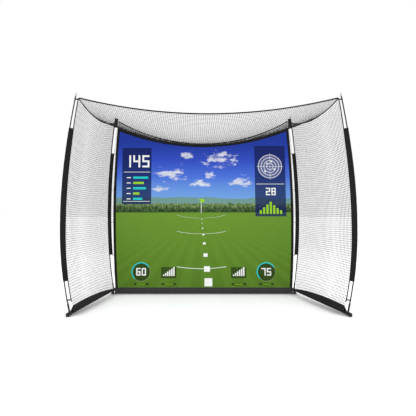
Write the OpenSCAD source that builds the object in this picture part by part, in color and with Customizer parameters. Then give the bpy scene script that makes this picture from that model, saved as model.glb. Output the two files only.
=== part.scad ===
// Golf practice net: four bowed poles stand in sockets on a U of ground tubes. They hold a roof net,
// two side nets and a back net open round an impact screen. The two side frames swing about vertical
// pins at the rear corners. Origin: middle of the footprint, on the ground; +Z up; the open front is -Y.

/* [Ground frame] */
// Distance of each hinge pin from the middle plane
pin_x = 1248; // [1000:1:1500]
// Distance of the hinge pins behind the middle of the footprint
pin_y = 396; // [340:1:440]
// Height of the hinge pins' tongue and of the rear tube above the ground
rear_z = 58; // [50:1:75]
// Height of the front end of a side tube's axis above the ground
front_z = 24; // [22:0.5:40]
// Length of a side frame from its pin to the tube's front end
side_length = 1130; // [900:1:1300]
// Outward splay of the side frames
splay = 15.5; // [10:0.1:20]
// Outside diameter of the ground tubes
tube_d = 32; // [28:0.5:34]
// Wall of the ground tubes
tube_wall = 1.5; // [1.2:0.1:2]
// Distance of the rear tube behind the hinge pins
rear_tube_back = 48; // [46:0.5:56]
// Length of the middle section of the rear tube
centre_length = 830; // [600:1:1000]
// Length of the reduced end that slides into the next tube
spigot_length = 90; // [70:1:110]
// Distance of the side tube's joint from the pin
side_joint = 560; // [400:1:700]

/* [Fits] */
// Radial clearance of a reduced end in the next tube
slip_fit = 0.1; // [0.05:0.05:0.3]
// Radial clearance of a hinge pin in its tongue
pin_fit = 0.05; // [0.02:0.01:0.1]
// Radial clearance of a pole in its socket and ferrules
pole_fit = 0.2; // [0.1:0.05:0.4]
// Clearance between a soft piece and what it lies against
cloth_gap = 0.4; // [0.3:0.05:0.6]
// Clearance between two pieces that only seat on each other
seat_gap = 0.2; // [0.1:0.05:0.4]

/* [Poles] */
// Diameter of the glass fibre rods
pole_d = 14; // [11:0.5:15]
// Length of one rod outside its socket
rod_length = 785; // [600:1:850]
// Gap between two rods inside a ferrule
rod_gap = 1; // [0.5:0.5:3]
// Outside diameter of the ferrules
ferrule_d = 17.5; // [16.5:0.25:18]
// Length of the ferrules
ferrule_length = 120; // [80:1:160]
// Depth of a pole in its socket
socket_depth = 90; // [70:1:92]
// Wall of the pole sockets
socket_wall = 2.5; // [2:0.25:4]
// Outward lean of a front pole at its socket
front_lean = 11.5; // [9:0.1:14]
// Bend of the lower, middle and upper rods of a front pole
front_bends = [11, 7, 5]; // [3:0.5:12]
// Backward tilt of the front poles' plane
front_tilt = 1.2; // [0:0.1:3]
// Outward lean of a rear pole at its socket
rear_lean = 8.5; // [6:0.1:11]
// Bend of the lower, middle and upper rods of a rear pole
rear_bends = [6.5, 5, 4]; // [3:0.5:8]
// Backward tilt of the rear poles' plane
rear_tilt = 5.7; // [4:0.1:7]
// Length of the tip caps
tip_length = 32; // [20:1:50]
// Outside diameter of the tip caps
tip_d = 18.5; // [17:0.25:22]

/* [Sleeves and cords] */
// Outside diameter of a fabric sleeve round its pole
sleeve_d = 23; // [22.5:0.25:26]
// Thickness of the sleeve's cloth
sleeve_cloth = 1.2; // [0.8:0.1:1.6]
// Distance from the pole's axis to the free edge of the sleeve's flat web
web_reach = 41; // [30:1:50]
// Thickness of the sleeve's flat web
web_thick = 2.6; // [2:0.1:4]
// Distance along a front pole where its sleeve starts
front_sleeve_low = 245; // [200:1:400]
// Distance along a front pole where its sleeve ends
front_sleeve_high = 1960; // [1700:1:2100]
// Distance along a rear pole where its sleeve starts
rear_sleeve_low = 385; // [300:1:500]
// Distance along a rear pole where its sleeve ends
rear_sleeve_high = 1815; // [1700:1:2000]
// Diameter of the edge cords
cord_d = 6; // [4:0.5:7]

/* [Nets] */
// Width of a net strand
strand = 7; // [4:0.5:10]
// Thickness of a net strand
strand_thick = 3; // [2:0.5:4]
// Gaps of a side net from rear to front and from bottom to top
side_gaps = [6, 11]; // [4:1:8]
// Gaps of the roof net across and from front to rear
roof_gaps = [14, 6]; // [4:1:15]
// Gaps of the back net across and from bottom to top
back_gaps = [12, 8]; // [4:1:14]
// Sag of the seam between roof and side net
seam_sag = 98; // [60:1:110]
// Sag of the roof's front edge
front_sag = 165; // [110:1:190]
// Backward pull of the roof's front edge at its middle
front_pull = 60; // [0:1:120]
// Sag of the seam between roof and back net
back_sag = 325; // [260:1:335]

/* [Impact screen] */
// Width of the screen at its foot
screen_foot = 2420; // [2200:1:2430]
// Width of the screen at its top corners
screen_top = 2430; // [2200:1:2450]
// Outward bow of the screen's side edges
screen_bow = 42; // [10:1:46]
// Height of the screen's foot above the ground
screen_foot_z = 88; // [86:1:100]
// Length of the screen's side edge
screen_side = 2235; // [1900:1:2260]
// Drop of the screen's top edge at its middle
screen_sag = 243; // [150:1:260]
// Thickness of the screen's cloth
screen_thick = 2.4; // [1.5:0.1:4]
// Distance of the screen in front of the rear poles' plane
screen_ahead = 14; // [10:0.5:18]
// Width of the border webbing
border = 32; // [20:1:45]
// Thickness of the border webbing
border_thick = 1.2; // [0.8:0.1:2]
// Distances up the screen's edge of the elastic ties
tie_heights = [440, 890, 1350, 1860]; // [300:1:2100]
// Diameter of the elastic ties
tie_d = 5; // [4:0.5:6]

/* [Skirts and flaps] */
// Height of a side skirt above the tube's axis at its front end
skirt_front = 80; // [60:1:95]
// Height of a side skirt above the tube's axis at its rear end
skirt_rear = 22; // [21:1:30]
// Upward bow of a side skirt's top edge
skirt_bow = 30; // [10:1:40]
// Inward lean of the side skirts
skirt_lean = 16; // [8:0.5:20]
// Thickness of the skirts' and flaps' cloth
skirt_cloth = 1.4; // [1:0.1:2]
// Half the width of the middle flap
flap_split = 440; // [380:1:500]
// Gap between two flaps
flap_gap = 4; // [1:1:10]

/* [Snap buttons] */
// Diameter of a snap button
button_d = 7; // [6:0.5:8]
// Height that a snap button stands above the outer tube
button_proud = 2.5; // [2:0.25:3]

/* [Hidden] */
$fn = 48;

// colours
steel = "dimgray";
fibre = "#3a3c3e";
cap_grey = "#9a9c9e";
rubber = "#1c1c1e";
cloth = "#242426";
netting = "#3c3c3e";
spring_steel = "silver";
picture_green = "#5f8a34";

// tubes
tube_r = tube_d / 2;
bore_r = tube_r - tube_wall;
spigot_r = bore_r - slip_fit;
spigot_bore_r = spigot_r - tube_wall;
rear_tube_y = pin_y + rear_tube_back;
side_slope = asin((rear_z - front_z) / side_length);

// corner brackets
pin_d = 12;
pin_head_d = 20;
pin_head = 5;
tongue_thick = 14;
tongue_width = 28;
tongue_heel = 17;
tongue_reach = 42;
plug_length = 60;
plug_r = bore_r - seat_gap;
side_tube_start = tongue_reach + 2;
cheek = 5;
cheek_r = 20;
cheek_gap = 0.25;
bracket_sleeve_wall = 3;
bracket_sleeve_length = 90;
bracket_end = 34;
bracket_r = tube_r + seat_gap + bracket_sleeve_wall;
stop_gap = 0.3;
leg_half = 18;
foot_thick = 8;
foot_half = 24;
foot_recess = 3;

// poles
pole_r = pole_d / 2;
foot_swell = 0.3;
socket_bore_r = pole_r + foot_swell + pole_fit;
socket_r = socket_bore_r + socket_wall;
rear_mouth_out = 4;
rear_mouth_back = 6;
rear_mouth_rise = 89;
rear_mouth = [pin_x + rear_mouth_out, rear_tube_y + rear_mouth_back, rear_z + rear_mouth_rise];
socket_from_end = 50;
socket_s = side_length - socket_from_end;
socket_floor = 8;
collar_half = 30;
collar_wall = 3;
front_socket_run = 112;
rods = 3;
pole_length = rods * rod_length;
pole_foot_r = pole_r + foot_swell;
pole_foot_rise = 4;
tip_roof = 4;
// short bands where a sleeve or cord passes a joint of its pole
band_half = 5;
band_rise = 0.3;
// segments in a whole circle of the long arcs
pole_fn = 720;
cord_fn = 720;

// cords and net corners
cord_r = cord_d / 2;
edge_reach = web_reach + cloth_gap + cord_r;
net_low = 20;
net_front_high = 2300;
net_rear_high = 2245;
// where the back net and the roof meet at a rear pole
back_high = 2290;
// how far outward of the rear pole's axis a side net's rear edge lies
rear_edge_out = 6;
// how sharply the nets are drawn in to the skirt's ends and to the roof's rear corners
foot_pull = 24;
corner_pull = 16;
// how far an edge cord passes the net's ends, and the loops' distances from them
edge_cord_low = 8;
edge_cord_high = 1;
loop_low = 8;
loop_high = 4;
// the rear edge of a side net lies in front of the rear sleeve, and the back net's edges behind it
side_edge_ahead = sleeve_d / 2 + cloth_gap + strand_thick / 2;
net_gap = 0.9;
// room for the straight strands of a net's edge to bridge a sagging cord
strand_bridge = 2.1;

pocket_length = 130;
loop_height = 14;
loop_wall = 1.6;
front_cord_clear = 16;
back_cord_clear = 2;

// screen ties, flaps and caps
tie_lap = 12;
tie_ahead = web_thick / 2 + seat_gap + tie_d / 2;
flap_half = bracket_r + cloth_gap + skirt_cloth;
flap_low = 3;
cap_wall = 3.5;
cap_length = 18;
cap_foot = 30;

// buttons
button_r = button_d / 2;
button_fit = 0.15;
button_flange_r = button_r + 2;
button_flange = 1.5;
button_drop = 0.3;
leaf = 0.8;
leaf_width = 7;
leaf_length = 46;
leaf_gap = 0.05;
eyelet_r = 9;

// ---------------------------------------------------------------- small helpers
function lerp(a, b, t) = a + (b - a) * t;
// how far a circular arc over a span dips below its chord, at a share t of the span
function dip(t, span, sag) =
    let (r = (span * span / 4 + sag * sag) / (2 * sag), x = (t - 0.5) * span)
    sqrt(r * r - x * x) - r + sag;

// one pole in its own plane: [outward, up, lean] at a distance along it; each rod is one arc
function rod_radius(bends, i) = rod_length * 180 / (PI * bends[i]);
function joint_radius(bends, i) = 2 / (1 / rod_radius(bends, i - 1) + 1 / rod_radius(bends, i));
function rod_lean(lean, bends, i) = i == 0 ? lean : rod_lean(lean, bends, i - 1) - bends[i - 1];
function arc_step(start, r, turn) =
    [start[0] + r * (cos(start[2] - turn) - cos(start[2])),
     start[1] + r * (sin(start[2]) - sin(start[2] - turn)),
     start[2] - turn];
function rod_start(lean, bends, i) =
    i == 0 ? [0, 0, lean] : arc_step(rod_start(lean, bends, i - 1), rod_radius(bends, i - 1), bends[i - 1]);
function rod_of(s) = min(rods - 1, max(0, floor(s / rod_length)));
function pole_at(lean, bends, s) =
    let (i = rod_of(s), along = s - i * rod_length)
    arc_step(rod_start(lean, bends, i), rod_radius(bends, i), along / rod_length * bends[i]);
// a point beside the pole, in its plane (outward) and square to it (back)
function beside(lean, bends, s, outward, back) =
    let (p = pole_at(lean, bends, s))
    [p[0] + outward * cos(p[2]), back, p[1] - outward * sin(p[2])];
function tilted(p, tilt) =
    [p[0], p[1] * cos(tilt) + p[2] * sin(tilt), p[2] * cos(tilt) - p[1] * sin(tilt)];

// places in the row's frame, on the right-hand side
function side_at(along, outward, up) =
    let (flat = along * cos(side_slope) + up * sin(side_slope))
    [pin_x + flat * sin(splay) + outward * cos(splay),
     pin_y - flat * cos(splay) + outward * sin(splay),
     rear_z - along * sin(side_slope) + up * cos(side_slope)];
socket_foot = side_at(socket_s, 0, 0);
front_mouth = socket_foot + front_socket_run
    * [sin(front_lean), cos(front_lean) * sin(front_tilt), cos(front_lean) * cos(front_tilt)];
function front_at(s, outward = 0, back = 0) =
    front_mouth + tilted(beside(front_lean, front_bends, s, outward, back), front_tilt);
function rear_at(s, outward = 0, back = 0) =
    rear_mouth + tilted(beside(rear_lean, rear_bends, s, outward, back), rear_tilt);

// a cord that sags between two points: its circle's radius, and a point on it
function sag_radius(a, b, sag) = (pow(norm(b - a) / 2, 2) + sag * sag) / (2 * sag);

// the cord as a solid; swing turns its arc about its chord; clear shortens the cord at both ends
module sag_cord(a, b, sag, r, swing = 0, clear = 0) {
    run = b - a;
    flat = norm([run[0], run[1]]);
    radius = sag_radius(a, b, sag);
    half = asin(norm(run) / 2 / radius) - clear / radius * 180 / PI;
    translate((a + b) / 2)
        rotate([swing, -atan2(run[2], flat), atan2(run[1], run[0])])
            translate([0, 0, radius - sag])
                rotate([90, 0, 0])
                    rotate([0, 0, -90 - half])
                        rotate_extrude(angle = 2 * half, $fn = cord_fn)
                            translate([radius, 0]) circle(r = r, $fn = 24);
}

// children: a flat profile, its X outward from the pole and its Y forward; swept along one pole.
// join is the gap left at each rod's end; a second child is the profile of the bands over the gaps
module along_pole(lean, bends, from, to, join) {
    rotate([90, 0, 0]) {
        for (i = [0 : rods - 1]) {
            low = max(from, i * rod_length + (i > 0 ? join / 2 : 0));
            high = i == rods - 1 ? to : min(to, (i + 1) * rod_length - join / 2);
            if (high > low)
                pole_arc(rod_start(lean, bends, i), rod_radius(bends, i), low - i * rod_length,
                         high - i * rod_length)
                    children(0);
        }
        if ($children > 1)
            for (i = [1 : rods - 1])
                if (from < i * rod_length && to > i * rod_length)
                    pole_arc(rod_start(lean, bends, i), joint_radius(bends, i), -band_half, band_half)
                        children(1);
    }
}

// one arc that leaves a point at its lean, between two distances from that point
module pole_arc(start, radius, low, high) {
    degrees = 180 / PI / radius;
    translate([start[0] - radius * cos(start[2]), start[1] + radius * sin(start[2]), 0])
        rotate([0, 0, low * degrees - start[2]])
            rotate_extrude(angle = (high - low) * degrees, $fn = pole_fn)
                translate([radius, 0]) children();
}

module on_front_pole(from, to, join = 0) {
    translate(front_mouth) rotate([-front_tilt, 0, 0])
        along_pole(front_lean, front_bends, from, to, join) {
            children(0);
            if ($children > 1) children(1);
        }
}

module on_rear_pole(from, to, join = 0) {
    translate(rear_mouth) rotate([-rear_tilt, 0, 0])
        along_pole(rear_lean, rear_bends, from, to, join) {
            children(0);
            if ($children > 1) children(1);
        }
}

// the ferrules over the rods' ends, each one arc
module ferrules(mouth, tilt, lean, bends) {
    translate(mouth) rotate([-tilt, 0, 0]) rotate([90, 0, 0])
        for (i = [1 : rods - 1])
            pole_arc(rod_start(lean, bends, i), joint_radius(bends, i), -ferrule_length / 2,
                     ferrule_length / 2)
                ring(ferrule_d / 2, pole_r + pole_fit);
}

// straight down the socket from a pole's mouth
module down_socket(mouth, lean, tilt) {
    translate(mouth) rotate([-tilt, 0, 0]) rotate([0, lean, 0]) mirror([0, 0, 1]) children();
}

// a side frame's own axes: +X along its tube to the front, +Y outward, +Z up
module in_side_frame() {
    translate([pin_x, pin_y, rear_z]) rotate([0, side_slope, splay - 90]) children();
}

// +Z along the side tube to the front, -X outward
module along_side_tube() {
    in_side_frame() rotate([0, 90, 0]) rotate([0, 0, -90]) children();
}

module left() {
    mirror([1, 0, 0]) children();
}

module both() {
    children();
    left() children();
}

module ring(outer, inner) {
    difference() {
        circle(r = outer);
        circle(r = inner);
    }
}

module pipe(length, outer, inner) {
    difference() {
        cylinder(h = length, r = outer);
        translate([0, 0, -1]) cylinder(h = length + 2, r = inner);
    }
}

// a net as an open lattice on a curved surface; place(u, v) gives a point, u and v from 0 to 1
module lattice(gaps, across, up, place, thick) {
    wide = strand / across;
    high = strand / up;
    us = [for (i = [0 : gaps[0]]) for (k = [0, 1]) i * (1 - wide) / gaps[0] + k * wide];
    vs = [for (j = [0 : gaps[1]]) for (k = [0, 1]) j * (1 - high) / gaps[1] + k * high];
    nu = len(us);
    nv = len(vs);
    side = nu * nv;
    points = [for (k = [-1, 1]) for (v = vs) for (u = us) place(u, v) + k * thick / 2];
    function at(i, j, k) = k * side + j * nu + i;
    function open(i, j) =
        i < 0 || j < 0 || i > nu - 2 || j > nv - 2 || (i % 2 == 1 && j % 2 == 1);
    function two(a, b, c, d) = [[a, b, c], [a, c, d]];
    faces = [
        for (j = [0 : nv - 2]) for (i = [0 : nu - 2]) if (!open(i, j)) each concat(
            two(at(i, j, 0), at(i, j + 1, 0), at(i + 1, j + 1, 0), at(i + 1, j, 0)),
            two(at(i, j, 1), at(i + 1, j, 1), at(i + 1, j + 1, 1), at(i, j + 1, 1)),
            open(i - 1, j) ? two(at(i, j, 0), at(i, j, 1), at(i, j + 1, 1), at(i, j + 1, 0)) : [],
            open(i + 1, j)
                ? two(at(i + 1, j, 0), at(i + 1, j + 1, 0), at(i + 1, j + 1, 1), at(i + 1, j, 1)) : [],
            open(i, j - 1) ? two(at(i, j, 0), at(i + 1, j, 0), at(i + 1, j, 1), at(i, j, 1)) : [],
            open(i, j + 1)
                ? two(at(i, j + 1, 0), at(i, j + 1, 1), at(i + 1, j + 1, 1), at(i + 1, j + 1, 0)) : [])
    ];
    polyhedron(points = points, faces = faces);
}

// ---------------------------------------------------------------- net surfaces
skirt_from = 32;
skirt_to = socket_s - collar_half - 4;
function skirt_height(t) =
    lerp(skirt_rear, skirt_front, t) + dip(t, skirt_to - skirt_from, skirt_bow);
function skirt_top(t, lift) =
    let (h = skirt_height(t) + lift)
    side_at(lerp(skirt_from, skirt_to, t), -h * tan(skirt_lean), h);
skirt_up = side_at(0, -tan(skirt_lean), 1) - side_at(0, 0, 0);

// the side net's rear and front edges, drawn in to the skirt's ends at the bottom
function net_rear_edge(v) =
    lerp(rear_at(lerp(net_low, net_rear_high, v), rear_edge_out, -side_edge_ahead),
         skirt_top(0, net_gap), pow(1 - v, foot_pull));
function net_front_edge(v) =
    lerp(front_at(lerp(net_low, net_front_high, v), -edge_reach, cord_r + cloth_gap),
         skirt_top(1, net_gap), pow(1 - v, foot_pull));
seam_lift = cord_r + net_gap + strand_bridge;
seam_rear = net_rear_edge(1) + [0, 0, seam_lift];
seam_front = net_front_edge(1) + [0, 0, seam_lift];
seam_span = norm(seam_front - seam_rear);
function seam_line(t) = lerp(seam_front, seam_rear, t) - [0, 0, dip(t, seam_span, seam_sag)];
function side_place(u, v) =
    lerp(net_rear_edge(v), net_front_edge(v), u)
    + (1 - v) * dip(u, skirt_to - skirt_from, skirt_bow) * skirt_up
    - v * dip(u, seam_span, seam_sag) * [0, 0, 1];

function mirrored(p) = [-p[0], p[1], p[2]];
beside_cord = cord_r + net_gap;
back_corner_reach = web_reach + cloth_gap + 1;
back_corner = rear_at(back_high, -back_corner_reach);
front_corner = seam_front + [-beside_cord, -beside_cord, strand_thick / 2];
front_dip = norm([front_pull, front_sag]);
function front_line(t) =
    lerp(mirrored(front_corner), front_corner, t)
    + dip(t, 2 * front_corner[0], front_dip) / front_dip * [0, front_pull, -front_sag];
function back_line(t) =
    lerp(mirrored(back_corner), back_corner, t)
    - dip(t, 2 * back_corner[0], back_sag) * [0, 0, 1];

// the roof's right edge lies along the seam and is drawn in to the back corner at its rear end
roof_back_corner = back_corner - [0, beside_cord, 0];
function roof_edge(v) =
    seam_line(v) + [-beside_cord, 0, strand_thick / 2]
    + pow(v, corner_pull) * (roof_back_corner - seam_rear - [-beside_cord, 0, strand_thick / 2]);
function roof_place(u, v) =
    lerp(front_line(u) + [0, beside_cord, 0], back_line(u) - [0, beside_cord, 0], v)
    + lerp(mirrored(roof_edge(v)), roof_edge(v), u)
    - lerp(lerp(mirrored(roof_edge(0)), mirrored(roof_edge(1)), v),
           lerp(roof_edge(0), roof_edge(1), v), u);

// the back net's right edge, and its sheet hanging from the cord that joins it to the roof
back_from = -40;
function back_edge(v) =
    rear_at(lerp(back_from, back_high - seam_lift, v), -web_reach - cloth_gap);
function back_place(u, v) =
    lerp(mirrored(back_edge(v)), back_edge(v), u)
    - v * dip(u, 2 * back_corner[0], back_sag) * [0, 0, 1];

// ---------------------------------------------------------------- rear frame
spigot_at = centre_length / 2;
rear_button_x = spigot_at + seat_gap - spigot_length / 2;
side_button_s = side_joint + seat_gap - spigot_length / 2;

module rear_bar() {
    color(steel) translate([0, rear_tube_y, rear_z]) rotate([0, 90, 0]) children();
}

module button_hole(at) {
    translate([0, 0, at]) rotate([0, -90, 0]) cylinder(h = tube_d, r = button_r + button_fit);
}

// a tube with a reduced end: full size from start to end, then the spigot back from start
module spigot_tube(start, end) {
    difference() {
        union() {
            translate([0, 0, start]) cylinder(h = end - start, r = tube_r);
            translate([0, 0, start - spigot_length]) cylinder(h = spigot_length + 1, r = spigot_r);
        }
        translate([0, 0, start + 4]) cylinder(h = end - start, r = bore_r);
        translate([0, 0, start - spigot_length - 1])
            cylinder(h = spigot_length + 6, r = spigot_bore_r);
        button_hole(start - spigot_length / 2);
    }
}

module rear_tube_centre() {
    rear_bar()
        difference() {
            translate([0, 0, -spigot_at]) pipe(centre_length, tube_r, bore_r);
            button_hole(rear_button_x);
            button_hole(-rear_button_x);
        }
}

rear_tube_end = pin_x - bracket_end - seat_gap;
module rear_tube_right() {
    rear_bar() spigot_tube(spigot_at + seat_gap, rear_tube_end);
}

module rear_tube_left() {
    left() rear_tube_right();
}

// sleeve for the rear tube, cheeks for the tongue, a leg, and the socket of a rear pole
module corner_bracket_right() {
    sleeve_end = pin_x - bracket_end;
    cheek_z = tongue_thick / 2 + cheek_gap;
    color(steel)
        difference() {
            union() {
                // sleeve for the rear tube, closed at its outer end
                translate([sleeve_end - bracket_sleeve_length, rear_tube_y, rear_z])
                    rotate([0, 90, 0]) cylinder(h = bracket_sleeve_length + bracket_end, r = bracket_r);
                // cheeks above and below the tongue
                for (z = [cheek_z, -cheek_z - cheek])
                    translate([pin_x, pin_y, rear_z + z]) {
                        cylinder(h = cheek, r = cheek_r);
                        translate([-cheek_r, 0, 0]) cube([2 * cheek_r, rear_tube_back, cheek]);
                    }
                // block behind the tongue, and the leg down to the foot
                translate([pin_x - cheek_r, pin_y + tongue_heel, rear_z - cheek_z - cheek])
                    cube([2 * cheek_r, rear_tube_back - tongue_heel, 2 * (cheek_z + cheek)]);
                translate([pin_x - leg_half, rear_tube_y - leg_half, foot_thick - foot_recess])
                    cube([2 * leg_half, 2 * leg_half, rear_z - foot_thick + foot_recess]);
                down_socket(rear_mouth, rear_lean, rear_tilt) cylinder(h = socket_depth + socket_floor, r = socket_r);
            }
            translate([sleeve_end - bracket_sleeve_length - 1, rear_tube_y, rear_z])
                rotate([0, 90, 0]) cylinder(h = bracket_sleeve_length + 1, r = tube_r + seat_gap);
            translate([pin_x, pin_y, rear_z - tube_d]) cylinder(h = 2 * tube_d, r = pin_d / 2 + pin_fit);
            down_socket(rear_mouth, rear_lean, rear_tilt)
                translate([0, 0, -1]) cylinder(h = socket_depth + 1, r = socket_bore_r);
        }
}

module corner_bracket_left() {
    left() corner_bracket_right();
}

// one bolt at each corner: head on top of the cheek, nut under it
module hinge_pins() {
    top = tongue_thick / 2 + cheek_gap + cheek + seat_gap;
    color(spring_steel) both() translate([pin_x, pin_y, rear_z]) {
        translate([0, 0, -top - pin_head]) cylinder(h = 2 * top + pin_head * 2, r = pin_d / 2);
        translate([0, 0, top]) cylinder(h = pin_head, r = pin_head_d / 2);
        translate([0, 0, -top - pin_head]) cylinder(h = pin_head, r = pin_head_d / 2, $fn = 6);
    }
}

module corner_feet() {
    color(rubber) both()
        difference() {
            translate([pin_x - foot_half, rear_tube_y - foot_half, 0])
                cube([2 * foot_half, 2 * foot_half, foot_thick]);
            translate([pin_x - leg_half - seat_gap, rear_tube_y - leg_half - seat_gap,
                       foot_thick - foot_recess - seat_gap])
                cube([2 * (leg_half + seat_gap), 2 * (leg_half + seat_gap), foot_thick]);
        }
}

// ---------------------------------------------------------------- poles
module pole_foot(mouth, lean, tilt) {
    down_socket(mouth, lean, tilt)
        translate([0, 0, -pole_foot_rise])
            cylinder(h = socket_depth + pole_foot_rise - seat_gap, r = pole_foot_r);
}

module rear_pole_right() {
    color(fibre) {
        pole_foot(rear_mouth, rear_lean, rear_tilt);
        on_rear_pole(0, pole_length, rod_gap) circle(r = pole_r);
    }
}

module rear_pole_left() {
    left() rear_pole_right();
}

module rear_ferrules() {
    color(steel) both() ferrules(rear_mouth, rear_tilt, rear_lean, rear_bends);
}

module rear_tip_caps() {
    color(cap_grey) both()
        difference() {
            on_rear_pole(pole_length - tip_length, pole_length + tip_roof) circle(r = tip_d / 2);
            on_rear_pole(pole_length - tip_length - 1, pole_length + seat_gap)
                circle(r = pole_r + pole_fit);
        }
}

module front_pole_right() {
    color(fibre) {
        pole_foot(front_mouth, front_lean, front_tilt);
        on_front_pole(0, pole_length, rod_gap) circle(r = pole_r);
    }
}

module front_pole_left() {
    left() front_pole_right();
}

module front_ferrules_right() {
    color(steel) ferrules(front_mouth, front_tilt, front_lean, front_bends);
}

module front_ferrules_left() {
    left() front_ferrules_right();
}

module front_tip_cap_right() {
    color(cap_grey)
        difference() {
            on_front_pole(pole_length - tip_length, pole_length + tip_roof) circle(r = tip_d / 2);
            on_front_pole(pole_length - tip_length - 1, pole_length + seat_gap)
                circle(r = pole_r + pole_fit);
        }
}

module front_tip_cap_left() {
    left() front_tip_cap_right();
}

// ---------------------------------------------------------------- sleeves, pockets and cords
module webbed_ring(outer, inner, thick) {
    difference() {
        union() {
            circle(r = outer);
            translate([-web_reach, -thick / 2]) square([web_reach, thick]);
        }
        circle(r = inner);
    }
}

module sleeve_profile() {
    webbed_ring(sleeve_d / 2, sleeve_d / 2 - sleeve_cloth, web_thick);
}

module sleeve_band() {
    webbed_ring(sleeve_d / 2 + band_rise, sleeve_d / 2 - sleeve_cloth / 2, web_thick + 2 * band_rise);
}

module front_sleeve_right() {
    color(cloth) on_front_pole(front_sleeve_low, front_sleeve_high, band_half) {
        sleeve_profile();
        sleeve_band();
    }
}

module front_sleeve_left() {
    left() front_sleeve_right();
}

module rear_sleeve_right() {
    color(cloth) on_rear_pole(rear_sleeve_low, rear_sleeve_high, band_half) {
        sleeve_profile();
        sleeve_band();
    }
}

module rear_sleeve_left() {
    left() rear_sleeve_right();
}

module rear_pockets() {
    color(cloth) both()
        on_rear_pole(pole_length - tip_length - pocket_length, pole_length - tip_length - seat_gap)
            webbed_ring(pole_r + cloth_gap + sleeve_cloth, pole_r + cloth_gap, web_thick);
}

module edge_cord_right() {
    color(cloth) on_front_pole(net_low - edge_cord_low, net_front_high + edge_cord_high, band_half) {
        translate([-edge_reach, 0]) circle(r = cord_r, $fn = 24);
        translate([-edge_reach, 0]) circle(r = cord_r + band_rise / 2, $fn = 24);
    }
}

module edge_cord_left() {
    left() edge_cord_right();
}

// flat loops that hold the net's upper and lower front corners to the pole
module corner_loops_right() {
    color(cloth) for (s = [net_low + loop_low, net_front_high - loop_height - loop_high])
        on_front_pole(s, s + loop_height)
            difference() {
                union() {
                    circle(r = pole_r + cloth_gap + loop_wall);
                    translate([-edge_reach, -loop_wall]) square([edge_reach, 2 * loop_wall]);
                    translate([-edge_reach, 0]) circle(r = cord_r + cloth_gap / 2, $fn = 24);
                }
                circle(r = pole_r + cloth_gap);
                translate([-edge_reach, 0]) circle(r = cord_r + cloth_gap / 2, $fn = 24);
            }
}

module corner_loops_left() {
    left() corner_loops_right();
}

module seam_cord_right() {
    color(cloth) sag_cord(seam_rear, seam_front, seam_sag, cord_r);
}

module seam_cord_left() {
    left() seam_cord_right();
}

module roof_front_cord() {
    color(cloth)
        sag_cord(mirrored(front_corner), front_corner, front_dip, cord_r,
                 swing = atan2(front_pull, front_sag), clear = front_cord_clear);
}

module back_top_cord() {
    color(cloth)
        sag_cord(mirrored(back_corner), back_corner, back_sag, cord_r, clear = back_cord_clear);
}

// ---------------------------------------------------------------- nets
module side_net_right() {
    color(netting)
        lattice(side_gaps, skirt_to - skirt_from, net_front_high, function (u, v) side_place(u, v),
                [strand_thick, 0, 0]);
}

module side_net_left() {
    left() side_net_right();
}

module roof_net() {
    color(netting)
        lattice(roof_gaps, 2 * front_corner[0], seam_span, function (u, v) roof_place(u, v),
                [0, 0, -strand_thick]);
}

module back_net() {
    color(netting)
        lattice(back_gaps, 2 * back_corner[0], back_high - back_from,
                function (u, v) back_place(u, v), [0, strand_thick, 0]);
}

// ---------------------------------------------------------------- impact screen
// the screen's plane: X across, Y up it from the rear poles' mouths; children lie ahead of it
module in_screen_plane(ahead, thick) {
    translate([0, rear_mouth[1], rear_mouth[2]])
        rotate([90 - rear_tilt, 0, 0])
            translate([0, 0, ahead]) linear_extrude(thick) children();
}

screen_low = (screen_foot_z - rear_mouth[2] - screen_ahead * sin(rear_tilt)) / cos(rear_tilt);
screen_high = screen_low + screen_side;
screen_arc = (pow(screen_top / 2, 2) + screen_sag * screen_sag) / (2 * screen_sag);
// half the screen's width at a height above its foot
function screen_edge(h) =
    lerp(screen_foot, screen_top, h / screen_side) / 2 + dip(h / screen_side, screen_side, screen_bow);
module screen_outline(inset) {
    steps = 16;
    side = [for (k = [0 : steps])
               let (h = screen_side * k / steps) [screen_edge(h) - inset, screen_low + h]];
    difference() {
        polygon(concat(side, [for (k = [steps : -1 : 0]) [-side[k][0], side[k][1]]]));
        translate([0, screen_high - screen_sag + screen_arc]) circle(r = screen_arc + inset, $fn = 180);
    }
}

module impact_screen() {
    color(picture_green) in_screen_plane(screen_ahead, screen_thick) screen_outline(0);
}

// webbing down both sides and along the top, sewn on the screen's face
module screen_border() {
    color(cloth) in_screen_plane(screen_ahead + screen_thick + seat_gap, border_thick)
        difference() {
            screen_outline(0);
            screen_outline(border);
            translate([border - screen_foot / 2, screen_low - 1]) square([screen_foot - 2 * border, border]);
        }
}

// elastic ties from the screen's edges to the rear sleeves
module screen_ties() {
    color(cloth) both() for (h = tie_heights) {
        up = screen_low + h;
        start = [screen_edge(h) + seat_gap + 0.1, up];
        // the web's free edge at this height
        lean = pole_at(rear_lean, rear_bends, up);
        end = rear_mouth[0] + lean[0] - web_reach * cos(lean[2]) + tie_lap;
        translate([0, rear_mouth[1], rear_mouth[2]]) rotate([90 - rear_tilt, 0, 0])
            translate([start[0], start[1], tie_ahead])
                rotate([0, 90, 0]) cylinder(h = end - start[0], r = tie_d / 2, $fn = 24);
    }
}

// ---------------------------------------------------------------- bottom flaps
// a loose loop of cloth round the rear tube, up to the screen's foot
module flap(from, to) {
    color(cloth)
        translate([from, rear_tube_y, 0]) rotate([90, 0, 90]) linear_extrude(to - from)
            difference() {
                translate([-flap_half, flap_low])
                    square([2 * flap_half, screen_foot_z - cloth_gap - flap_low]);
                translate([skirt_cloth - flap_half, flap_low + skirt_cloth])
                    square([2 * (flap_half - skirt_cloth),
                            screen_foot_z - cloth_gap - flap_low - 2 * skirt_cloth]);
            }
}

module bottom_flap_centre() {
    flap(-flap_split, flap_split);
}

module bottom_flap_right() {
    flap(flap_split + flap_gap, screen_foot / 2);
}

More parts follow.
